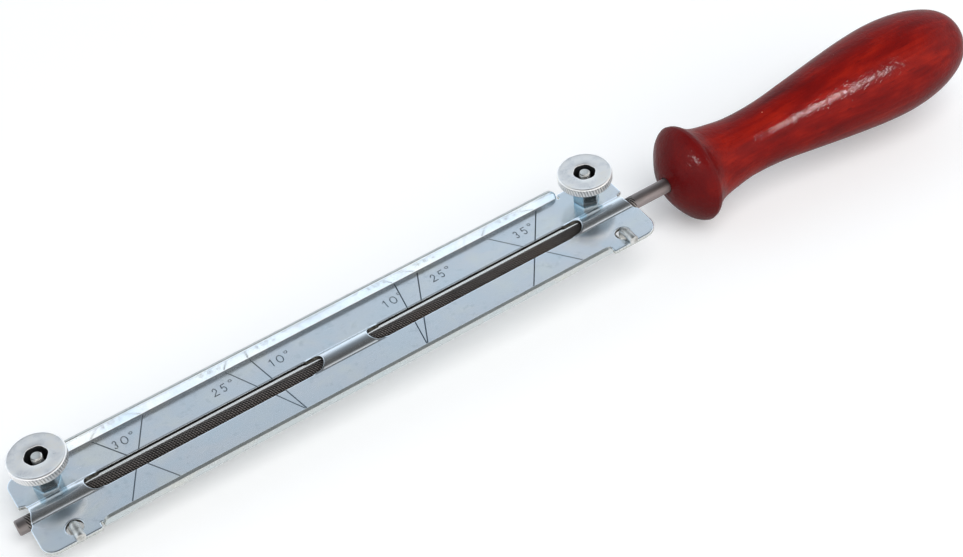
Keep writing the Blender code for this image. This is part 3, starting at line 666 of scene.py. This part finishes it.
def markCutter():  # a V groove for each stroke, with a cone where it turns or ends
    work = bmesh.new()
    for points, kind in markPaths():
        width, depth = marks[kind + "Width"] / 2, marks[kind + "Depth"]
        rise = depth * 0.6
        wide = width * (depth + rise) / depth
        for (ax, ay), (bx, by) in zip(points, points[1:]):
            across = Vector((ay - by, bx - ax, 0)).normalized() * wide
            ends = []
            for x, y in ((ax, ay), (bx, by)):
                base = Vector((x, y, rise))
                spots = (base - across, (x, y, -depth), base + across)
                ends.append([work.verts.new(spot) for spot in spots])
            (a, b, c), (d, e, f) = ends
            for corners in ((a, b, c), (f, e, d), (a, d, e, b), (b, e, f, c), (c, f, d, a)):
                work.faces.new(corners)
        if kind != "line":
            for x, y in points:
                made = bmesh.ops.create_cone(work, cap_ends=True, segments=10, radius1=0.0, radius2=wide,
                                             depth=depth + rise)
                bmesh.ops.translate(work, verts=made["verts"], vec=(x, y, (rise - depth) / 2))
    bmesh.ops.remove_doubles(work, verts=work.verts, dist=0.0000001)
    for face in work.faces:
        face.material_index = sideIndex["mark"]
    return meshFrom(work, "markCutter")


def channelPoint(across, lift):  # height and slope of the pressed upper side at a distance from the middle
    radius, fillet = guide.channelRadius, guide.channelFillet
    if across <= radius * cos(filletTurn):
        height = sqrt(radius ** 2 - across ** 2)
        slope = -across / height
    elif across < filletY:
        drop = sqrt(fillet ** 2 - (filletY - across) ** 2)
        height = filletZ - drop
        slope = -(filletY - across) / drop
    else:
        return deckZ, 0.0
    return deckZ + (height - deckZ) * lift, slope * lift


def liftAt(x):  # how much of the channel is pressed at a distance from the middle
    middle, near, far = abs(x), guide.runoutFrom, guide.runoutTo
    spacing = guide.windowSpacing
    for start, end in ((near, far), (spacing - near, spacing - far)):
        low, high = min(start, end), max(start, end)
        if low < middle < high:
            t = (middle - start) / (end - start)
            return 0.5 + 0.5 * cos(pi * t)
    return 0.0 if far <= middle <= spacing - far else 1.0


def bendPoint(x, v, depth):  # a point of the flat blank put where the pressed sheet has it
    side, across = (1 if v >= 0 else -1), abs(v)
    bendAt, bendRadius = guide.bendAt, guide.bendRadius
    inFlange = abs(x) < guide.flangeLength / 2 + guide.notch / 2
    if across <= bendAt or not inFlange:
        z, slope = channelPoint(across, liftAt(x))
        length = hypot(1, slope)
        return Vector((x, side * (across - slope / length * depth), z + depth / length))
    turn = min(across - bendAt, bendLength) / bendRadius
    rest = max(across - bendAt - bendLength, 0)
    y = bendAt + bendRadius * sin(turn) + rest * cos(turn)
    z = deckZ + bendRadius * (1 - cos(turn)) + rest * sin(turn)
    return Vector((x, side * (y - sin(turn) * depth), z + cos(turn) * depth))


def bendStations():  # where the flat blank gets lines, so that it can follow its bends
    radius, fillet, bendAt = guide.channelRadius, guide.channelFillet, guide.bendAt
    across = [radius * sin((pi / 2 - filletTurn) * i / 12) for i in range(13)]
    across += [filletY - fillet * cos(filletTurn) * (1 - i / 7) for i in range(1, 8)]
    across += [bendAt + bendLength * i / 7 for i in range(8)]
    across += [*guide.linesAcross, bendAt + bendLength + guide.flangeStraight / 2]
    near, far, spacing = guide.runoutFrom, guide.runoutTo, guide.windowSpacing
    along = [near + (far - near) * i / 10 for i in range(11)]
    along += [spacing - a for a in along] + [*guide.linesAlong]
    return [0.0] + [s * a for a in across[1:] for s in (-1, 1)], [s * a for a in along for s in (-1, 1)]


def makeGuide():
    holder = holderOf(flatBlank())
    cutter = holderOf(markCutter(), "markCutter")
    for material in sheetSides.values():
        holder.data.materials.append(material)
        cutter.data.materials.append(material)
    step = holder.modifiers.new("marks", "BOOLEAN")
    step.object = cutter
    step.operation = "DIFFERENCE"
    step.solver = "EXACT"
    step.use_self = True
    flat = bakedObject(holder, "guidePlateFlat")
    bpy.data.objects.remove(cutter, do_unlink=True)
    work = bmesh.new()
    work.from_mesh(flat.data)
    bmesh.ops.triangulate(work, faces=work.faces)
    across, along = bendStations()
    for places, normal in ((across, Vector((0, 1, 0))), (along, Vector((1, 0, 0)))):
        for place in places:
            parts = work.verts[:] + work.edges[:] + work.faces[:]
            bmesh.ops.bisect_plane(work, geom=parts, dist=1e-8, plane_co=normal * place, plane_no=normal)
    bmesh.ops.triangulate(work, faces=work.faces)
    bmesh.ops.remove_doubles(work, verts=work.verts, dist=0.000001)
    for vert in work.verts:
        vert.co = bendPoint(*vert.co) + Vector((guideX, 0, 0))
    work.normal_update()
    for face in work.faces:
        # faces that look downward take the darker zinc copy: painted shade
        if face.material_index == sideIndex["face"] and face.normal.z < -0.1:
            face.material_index = sideIndex["under"]
    work.to_mesh(flat.data)
    work.free()
    flat.name = "guidePlate"
    return shadeByAngle(flat, 34)


guidePlate = makeGuide()
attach(guidePlate, "guide")
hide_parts("guide_plate")
print("guide plate pressed,", len(guidePlate.data.polygons), "faces")

# The round file, built round Z with its tip down, then laid along X

roundFile = Named(
    radius=0.00238, tipX=-0.1737, bevel=0.0004, plainTip=0.0030, cutEndX=0.0385,
    shankEndX=0.0618, tang=0.0340, tangAcross=0.0032, tangPoint=0.0016, sides=112,
    rowStep=0.00042, starts=22.0, step=0.0024, depth=0.00017, crossStarts=-26.0,
    crossStep=0.0027, crossDepth=0.00010, cutFade=0.0020, shankRows=(0.004, 0.012),
    shankBevel=0.0006, tangStart=0.0012, tangTip=0.0004)


def alongX(mesh, x):  # lays a shape that was built round Z along +X from x
    mesh.transform(Matrix.Translation((x, 0, 0)) @ Matrix.Rotation(pi / 2, 4, "Y"))


def makeFile():
    r, sides = roundFile.radius, roundFile.sides
    turns = [2 * pi * i / sides for i in range(sides)]
    cutEnd = roundFile.cutEndX - roundFile.tipX
    shankEnd = roundFile.shankEndX - roundFile.tipX

    def ring(radius, z, squareness=0.0):
        rows = []
        for a in turns:
            square = 1 / max(abs(cos(a)), abs(sin(a)))
            reach = radius * (1 + (square - 1) * squareness)
            rows.append((reach * cos(a), reach * sin(a), z))
        return rows

    bevel, start = roundFile.bevel, roundFile.plainTip
    rings = [[(0, 0, 0)], ring(r * 0.5, 0), ring(r - bevel, bevel * 0.05),
             ring(r - bevel * 0.45, bevel * 0.3), ring(r, bevel), ring(r, bevel * 1.4)]
    count = int((cutEnd - start) / roundFile.rowStep)
    rings += [ring(r, start + (cutEnd - start) * i / count) for i in range(count + 1)]
    rings += [ring(r, cutEnd + after) for after in roundFile.shankRows]
    rings += [ring(r, shankEnd - roundFile.shankBevel), ring(r * 0.94, shankEnd)]
    tangStart = roundFile.tangStart
    for i in range(7):
        t = i / 6
        size = (roundFile.tangAcross * (1 - t) + roundFile.tangPoint * t) / 2
        rings.append(ring(size, shankEnd + tangStart + (roundFile.tang - tangStart) * t, 0.9))
    rings.append([(0, 0, shankEnd + roundFile.tang + roundFile.tangTip)])
    item = holderOf(ringMesh("roundFileRings", rings))
    band = {"From": start, "To": cutEnd, "Fade": roundFile.cutFade, "Inner radius": r * 0.8,
            "Outer radius": r * 1.2, "Root": 0.05, "Material": teeth}
    applyTree(item, grooves, {**band, "Starts": roundFile.starts, "Step": roundFile.step,
                              "Depth": roundFile.depth, "Land": 0.15})
    applyTree(item, grooves, {**band, "Starts": roundFile.crossStarts, "Step": roundFile.crossStep,
                              "Depth": roundFile.crossDepth, "Land": 0.25})
    item = bakedObject(item, "roundFile")
    item.data.materials.append(shank)
    for face in item.data.polygons:
        face.material_index = 0 if start < face.center.z < cutEnd else 1
    alongX(item.data, roundFile.tipX)
    return shadeByAngle(item, 40, weighted=False)


filePiece = makeFile()
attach(filePiece, "file_and_handle")
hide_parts("round_file")
print("file cut,", len(filePiece.data.polygons), "faces")

# The turned handle: radius along it as shares of the collar, the neck and the belly

handle = Named(
    x=0.0518, length=0.1219, collar=0.0330, neck=0.0211, belly=0.0328, sides=144,
    bore=0.00244, boreDepth=0.0103, tangBore=0.00243, tangEnd=0.0014, tangDepth=0.0443,
    mouthDepth=0.0006, mouthEdge=0.00006, mouthFlare=0.00018, mouthRim=0.0003,
    wobble=0.00012, wobbleFrom=0.002, waves=70, waveStretch=0.35, thinnest=0.00005,
    nose=[(0.0, 0.24), (0.008, 0.45), (0.022, 0.64), (0.045, 0.87), (0.060, 0.965), (0.070, 1.0)],
    back=[(0.082, 0.975), (0.100, 0.87), (0.125, 0.775)],
    waist=[(0.17, 1.10), (0.24, 1.0), (0.34, 1.03), (0.45, 1.19)],
    swell=[(0.57, 0.885), (0.68, 0.975), (0.77, 1.0), (0.86, 0.925), (0.93, 0.76)],
    end=[(0.97, 0.57), (0.992, 0.32), (1.0, 0.0)])


def smoothRows(rows, steps):  # a curve through (place, radius) rows
    def slope(i):
        low, high = max(i - 1, 0), min(i + 1, len(rows) - 1)
        return (rows[high][1] - rows[low][1]) / (rows[high][0] - rows[low][0])

    points = [rows[0]]
    for i, ((a, ra), (b, rb)) in enumerate(zip(rows, rows[1:])):
        span = b - a
        for k in range(1, steps + 1):
            t = k / steps
            first = (1 + 2 * t) * (1 - t) ** 2 * ra + t * (1 - t) ** 2 * span * slope(i)
            last = t * t * (3 - 2 * t) * rb + t * t * (t - 1) * span * slope(i + 1)
            points.append((a + t * span, first + last))
    return points


def makeHandle():
    spans = (("nose", "collar"), ("back", "collar"), ("waist", "neck"), ("swell", "belly"), ("end", "belly"))
    rows = []
    for part, across in spans:
        rows += [(place * handle.length, share * handle[across] / 2) for place, share in handle[part]]
    rim = len(handle.nose) - 1
    outline = smoothRows(rows[:rim + 1], 7) + smoothRows(rows[rim:], 9)[1:]
    outline = [(place, max(radius, 0)) for place, radius in outline if radius > handle.thinnest]
    turns = [2 * pi * i / handle.sides for i in range(handle.sides)]

    def ring(radius, z, wobble=0.0):
        row = []
        for a in turns:
            spot = Vector((cos(a) * radius, sin(a) * radius, z * handle.waveStretch))
            reach = radius + wobble * noise.noise(spot * handle.waves)
            row.append((reach * cos(a), reach * sin(a), z))
        return row

    mouth = handle.bore
    rings = [[(0, 0, handle.tangDepth)], ring(handle.tangEnd, handle.tangDepth),
             ring(handle.tangBore, handle.boreDepth), ring(mouth, handle.boreDepth),
             ring(mouth, handle.mouthDepth), ring(mouth + handle.mouthFlare, handle.mouthEdge)]
    for place, radius in outline:
        if radius > mouth + handle.mouthRim:
            rings.append(ring(radius, place, handle.wobble if place > handle.wobbleFrom else 0.0))
    rings.append([(0, 0, handle.length)])
    item = holderOf(ringMesh("handleRings", rings), "turnedHandle")
    item.data.materials.append(lacquer)
    alongX(item.data, handle.x)
    return shadeByAngle(item, 50)


handlePiece = makeHandle()
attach(handlePiece, "file_and_handle")
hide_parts("handle")
print("handle turned,", len(handlePiece.data.polygons), "faces")

# The hook bolts: bent wire with a threaded stud, built round the stud's axis

hook = Named(
    wire=0.0014, thread=0.00175, threadLength=0.0136, pitch=0.000794, threadDepth=0.00036,
    topZ=0.0138, chamfer=0.00028, runZ=-0.00408, legY=-0.0112, studBend=0.0034,
    legBend=0.0034, lipBend=0.0020, lipZ=0.0040, lipY=-0.0174, sides=36, endChamfer=0.00022,
    rows=150, lipRow=0.0012, threadPast=0.0004, threadFade=0.0009, threadReach=(0.0008, 0.0025),
    threadBehind=-0.003)


def hookLine():  # (y, z, radius) from the stud's top to the lip's end
    wireR, threadR, top, chamfer = hook.wire, hook.thread, hook.topZ, hook.chamfer
    points = [(studY, top, threadR - chamfer), (studY, top - chamfer, threadR)]
    count = hook.rows
    span = hook.threadLength - chamfer
    points += [(studY, top - chamfer - span * i / count, threadR) for i in range(1, count + 1)]
    points.append((studY, top - hook.threadLength - chamfer, wireR))
    bend, runZ, lipZ = hook.studBend, hook.runZ, hook.lipZ
    line = arcPoints((studY - bend, runZ + bend), bend, 0, -pi / 2, 16)
    y = line[-1][0]
    bend = hook.legBend
    leg = hook.legY + bend
    line += [(y + (leg - y) * i / 6, runZ) for i in range(1, 6)]
    line += arcPoints((leg, runZ + bend), bend, -pi / 2, -pi, 16)
    bend = hook.lipBend
    line += arcPoints((hook.legY - bend, lipZ - bend), bend, 0, pi / 2, 14)
    end, chamfer = hook.lipY, hook.endChamfer
    line += [(end + hook.lipRow, lipZ), (end + chamfer, lipZ)]
    points += [(y, z, wireR) for y, z in line]
    points += [(end + chamfer * 0.3, lipZ, wireR - chamfer * 0.45), (end, lipZ, wireR - chamfer)]
    return points


def makeHook(end):
    work = bmesh.new()
    layer = work.verts.layers.float.new("wireRadius")
    last = None
    for y, z, radius in hookLine():
        vert = work.verts.new((0, y - studY, z))
        vert[layer] = radius
        if last is not None:
            work.edges.new((last, vert))
        last = vert
    item = holderOf(meshFrom(work, "hookLine"))
    applyTree(item, bentWire, {"Sides": hook.sides, "Material": wire})
    inner, outer = hook.threadReach
    applyTree(item, grooves, {
        "Starts": 1.0, "Step": hook.pitch, "Depth": hook.threadDepth, "Land": 0.12, "Root": 0.10,
        "From": hook.topZ - hook.threadLength, "To": hook.topZ + hook.threadPast,
        "Fade": hook.threadFade, "Inner radius": inner, "Outer radius": outer, "Material": wire})
    item = bakedObject(item, "hookBolt" + end.capitalize())
    work = bmesh.new()
    work.from_mesh(item.data)
    bmesh.ops.recalc_face_normals(work, faces=work.faces)
    work.to_mesh(item.data)
    work.free()
    # the stud's upper faces take the brighter wire copy: painted light
    item.data.materials.append(litStudSteel)
    for face in item.data.polygons:
        face.material_index = 1 if face.center.z > 0 and face.center.y > hook.threadBehind else 0
    item.data.transform(Matrix.Translation((clampX[end], studY, 0)))
    return shadeByAngle(item, 34)


for end in ("front", "rear"):
    piece = makeHook(end)
    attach(piece, end + "_hook")
    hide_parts("hook_bolt_" + end)
print("hook bolts bent,", len(piece.data.polygons), "faces each")

# The thumb wheels: knurled disc, six-sided barrel and deep socket in one closed shape

wheel = Named(
    radius=0.0087, faceRadius=0.0081, thickness=0.0032, top=0.0140, foot=0.00236,
    barrelFlats=0.0075, barrelCorner=0.0005, socketFlats=0.0067, socketCorner=0.0022,
    socketEdge=0.00032, floor=0.0034, eye=0.00205, sides=480, ridges=58.0, ridgeDepth=0.00032,
    ridgeLean=-0.0035, ridgeLow=0.00010, ridgeFade=0.00035, ridgeInside=0.0004,
    ridgeOutside=0.02, lowEdge=0.0005, eyeLow=0.00012, eyeHigh=0.0002, eyeFoot=0.00015,
    floorRound=0.0001, floorRise=0.00008, faceDip=0.00003, underRow=0.0062,
    neckRound=0.0004, footRise=0.0003, footEdge=0.00008, footRound=0.00018, footFlat=0.0005,
    underReach=0.0050, underDepth=0.00030, underSlack=0.00001, socketReach=0.0040,
    turns={"front": -6, "rear": -14})


def hexReach(angle, flats, corner):  # distance to a rounded hexagon's side, with a corner at angle 0
    apothem = flats / 2
    phi = abs((angle + pi / 6) % (pi / 3) - pi / 6)
    centre = (apothem - corner) / cos(pi / 6)
    touch = atan2(corner / 2, centre + corner * cos(pi / 6))
    if phi < touch:
        return centre * cos(phi) + sqrt(max(corner ** 2 - (centre * sin(phi)) ** 2, 0))
    return apothem / cos(pi / 6 - phi)


def makeWheel(end):
    turns = [2 * pi * (i + 0.5) / wheel.sides for i in range(wheel.sides)]

    def ring(z, radius=0.0, flats=0.0, corner=0.0, hexShare=1.0):
        row = []
        for a in turns:
            reach = radius
            if flats:
                reach = hexReach(a, flats, corner) * hexShare + radius * (1 - hexShare)
            row.append((reach * cos(a), reach * sin(a), z))
        return row

    top, foot, floor, eye = wheel.top, wheel.foot, wheel.floor, wheel.eye
    socket, corner, lip = wheel.socketFlats, wheel.socketCorner, wheel.socketEdge
    eighths = [pi / 8 * i for i in range(1, 5)]
    rings = [ring(foot + wheel.eyeLow, eye), ring(floor - wheel.eyeHigh, eye),
             ring(floor, eye + wheel.eyeHigh), ring(floor, 0, socket - wheel.floorRound, corner),
             ring(floor + wheel.floorRise, 0, socket, corner)]
    rings += [ring(floor + (top - lip - floor) * i / 5, 0, socket, corner) for i in range(1, 6)]
    for a in eighths:
        more = lip * (1 - cos(a))
        rings.append(ring(top - lip * (1 - sin(a)), 0, socket + 2 * more, corner + more))
    face = wheel.faceRadius
    for share in (0.25, 0.5, 0.75, 0.95):
        dip = wheel.faceDip * sin(share * pi)
        flats = socket + 2 * lip + (2 * face - socket - 2 * lip) * share
        rounding = corner + lip + (face - corner - lip) * share
        rings.append(ring(top - dip, face, flats, rounding, 1 - share))
    edge = wheel.radius - face
    rings += [ring(z, r) for r, z in arcPoints((face, top - edge), edge, pi / 2, 0, 7)]
    low, under = top - wheel.thickness, wheel.lowEdge
    bandTop, bandLow = top - edge, low + under
    rings += [ring(bandTop + (bandLow - bandTop) * i / 14, wheel.radius) for i in range(1, 15)]
    arc = arcPoints((wheel.radius - under, bandLow), under, 0, -pi / 2, 5)
    rings += [ring(z, r) for r, z in arc[1:]]
    flats, bevel, neck = wheel.barrelFlats, wheel.barrelCorner, wheel.neckRound
    rings += [ring(low, wheel.underRow), ring(low, 0, flats + 2 * neck, bevel + neck)]
    for a in eighths:
        more = neck * (1 - sin(a))
        rings.append(ring(low - neck * (1 - cos(a)), 0, flats + 2 * more, bevel + more))
    start, base = low - neck, foot + wheel.footRise
    rings += [ring(start + (base - start) * i / 6, 0, flats, bevel) for i in range(1, 7)]
    rings += [ring(foot + wheel.footEdge, 0, flats - wheel.footRound, bevel),
              ring(foot, 0, flats - wheel.footFlat, bevel), ring(foot, eye + wheel.eyeFoot)]
    item = holderOf(ringMesh("wheelRings", rings, closed=True))
    applyTree(item, grooves, {
        "Starts": wheel.ridges, "Step": wheel.ridgeLean, "Depth": wheel.ridgeDepth, "Land": 0.20,
        "Root": 0.06, "From": low + wheel.ridgeLow, "To": top - edge * 0.85, "Fade": wheel.ridgeFade,
        "Inner radius": wheel.radius - wheel.ridgeInside, "Outer radius": wheel.ridgeOutside,
        "Material": wheelSteel})
    item = bakedObject(item, "thumbWheel" + end.capitalize())
    for material in (hubZinc, shadedSocketSteel, shadedUndersideSteel):
        item.data.materials.append(material)
    # the socket's walls take the dark steel copy: painted shade
    knurled, hub, inside, shadedBelow = range(4)
    for face in item.data.polygons:
        reach = hypot(face.center.x, face.center.y)
        outer = reach > (wheel.socketFlats + wheel.barrelFlats) / 4
        face.material_index = knurled
        # the disc's underside takes the darker steel copy: painted shade
        if face.center.z < low + wheel.underDepth and reach > wheel.underReach:
            face.material_index = shadedBelow
        elif face.center.z < low - wheel.underSlack:
            face.material_index = hub if outer else inside
        elif reach < wheel.socketReach and face.center.z < top - lip * 0.9:
            face.material_index = inside
    turn = Matrix.Rotation(radians(wheel.turns[end]), 4, "Z")
    item.data.transform(Matrix.Translation((clampX[end], studY, 0)) @ turn)
    return shadeByAngle(item, 42)


for end in ("front", "rear"):
    piece = makeWheel(end)
    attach(piece, end + "_wheel")
    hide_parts("thumb_wheel_" + end)
    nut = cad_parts["hex_nut_" + end]
    for slotPlace in nut.material_slots:
        slotPlace.material = hubZinc
print("thumb wheels knurled,", len(piece.data.polygons), "faces each")

# Studio: a pale floor, a soft sky that is bright near the ground, two small boxes for the handle, a wide fill

studio = Named(
    floorZ=-0.0137, floorSlope=-0.05, floorSize=24.0, floorTone=(0.90, 0.90, 0.90, 1),
    floorLift=0.17, target=(0.05, 0.0, 0.0), peak=1.40, farTint=(0.91, 1.0, 1.09),
    far=[(0.00, 1.10), (0.38, 1.10), (0.54, 0.88), (0.71, 0.62), (0.87, 0.26), (1.00, 0.14)],
    near=[(0.00, 1.15), (0.14, 1.40), (0.46, 1.40), (0.56, 0.90), (0.65, 0.38), (0.74, 0.17),
          (0.86, 0.12), (1.00, 0.14)])


def makeFloor():  # it carries the tool as a table would, on the front hook and the handle's collar
    half = studio.floorSize / 2
    corners = [(x, y, studio.floorZ + studio.floorSlope * x) for x, y in
               ((-half, -half), (half, -half), (half, half), (-half, half))]
    mesh = bpy.data.meshes.new("floor")
    mesh.from_pydata(corners, [], [(0, 1, 2, 3)])
    floor = holderOf(mesh, "floor")
    material, tree, shader, _ = newMaterial("paleFloor")
    for setting, value in (("Base Color", studio.floorTone), ("Roughness", 0.9), ("Specular IOR Level", 0.0)):
        plug(tree, shader.inputs[setting], value)
    rays = add(tree, "ShaderNodeLightPath").outputs
    seen = maths(tree, "MAXIMUM", rays["Is Camera Ray"], rays["Is Glossy Ray"])
    seen = maths(tree, "MAXIMUM", seen, rays["Is Transmission Ray"])
    glow = add(tree, "ShaderNodeEmission", {"Strength": product(tree, seen, studio.floorLift)})
    both = add(tree, "ShaderNodeAddShader", {0: shader.outputs[0], 1: glow.outputs[0]})
    output = next(n for n in tree.nodes if n.type == "OUTPUT_MATERIAL")
    plug(tree, output.inputs["Surface"], both.outputs[0])
    mesh.materials.append(material)


def makeSky():
    world = bpy.data.worlds.new("softStudio")
    scene.world = world
    world.use_nodes = True
    tree = world.node_tree
    ground = next(n for n in tree.nodes if n.type == "BACKGROUND")
    parts = split(tree, add(tree, "ShaderNodeTexCoord").outputs["Generated"])
    up = maths(tree, "MAXIMUM", parts["Z"], 0.0)
    red, green, blue = studio.farTint
    top = studio.peak
    far = ramp(tree, up, [(a, (v * red / top, v * green / top, v * blue / top, 1)) for a, v in studio.far])
    near = ramp(tree, up, [(a, (v / top, v / top, v / top, 1)) for a, v in studio.near])
    toFar = spread(tree, parts["Y"], -0.30, 0.30, smooth=True)
    plug(tree, ground.inputs["Color"], blend(tree, toFar, near, far))
    ground.inputs["Strength"].default_value = top


def softBox(name, azimuth, elevation, distance, size, power, glossy=True, only=None):
    light = bpy.data.lights.new(name, "AREA")
    light.shape = "RECTANGLE"
    light.size, light.size_y = size
    light.energy = power
    item = holderOf(light, name)
    a, e = radians(azimuth), radians(elevation)
    away = Vector((cos(a) * cos(e), sin(a) * cos(e), sin(e)))
    item.location = Vector(studio.target) + away * distance
    item.rotation_euler = away.to_track_quat("Z", "Y").to_euler()
    item.visible_glossy = glossy
    if only is not None:  # it lights that piece alone
        group = bpy.data.collections.new(name + "Receiver")
        group.objects.link(only)
        item.light_linking.receiver_collection = group


makeFloor()
makeSky()
softBox("rightBox", azimuth=-66, elevation=44, distance=1.1, size=(0.11, 0.17), power=13.5, only=handlePiece)
softBox("leftBox", azimuth=-172, elevation=32, distance=1.1, size=(0.16, 0.17), power=10.0, only=handlePiece)
softBox("nearFill", azimuth=-80, elevation=66, distance=1.6, size=(1.3, 1.3), power=14.0, glossy=False)
scene.view_settings.view_transform = "Standard"

# Camera at the photograph's angle

shot = Named(
    place=(-0.1920, -0.3378, 0.3869), view=(0.32016, 0.62520, -0.71178), up=(0.43666, 0.56937, 0.69652),
    roll=radians(0.4), lens=65.96, sensor_width=36.0, shift_x=0.00135, shift_y=-0.0005,
    clip_start=0.01)
view = Vector(shot.view).normalized()
level = view.cross(Vector(shot.up)).normalized()
right = level * cos(shot.roll) - level.cross(view) * sin(shot.roll)
camera = bpy.data.cameras.new("camera")
for setting in ("sensor_width", "lens", "shift_x", "shift_y", "clip_start"):
    setattr(camera, setting, shot[setting])
cameraPlace = holderOf(camera, "camera")
turned = Matrix((right, right.cross(view), -view)).transposed().to_4x4()
cameraPlace.matrix_world = Matrix.Translation(shot.place) @ turned
scene.camera = cameraPlace
print("studio set")
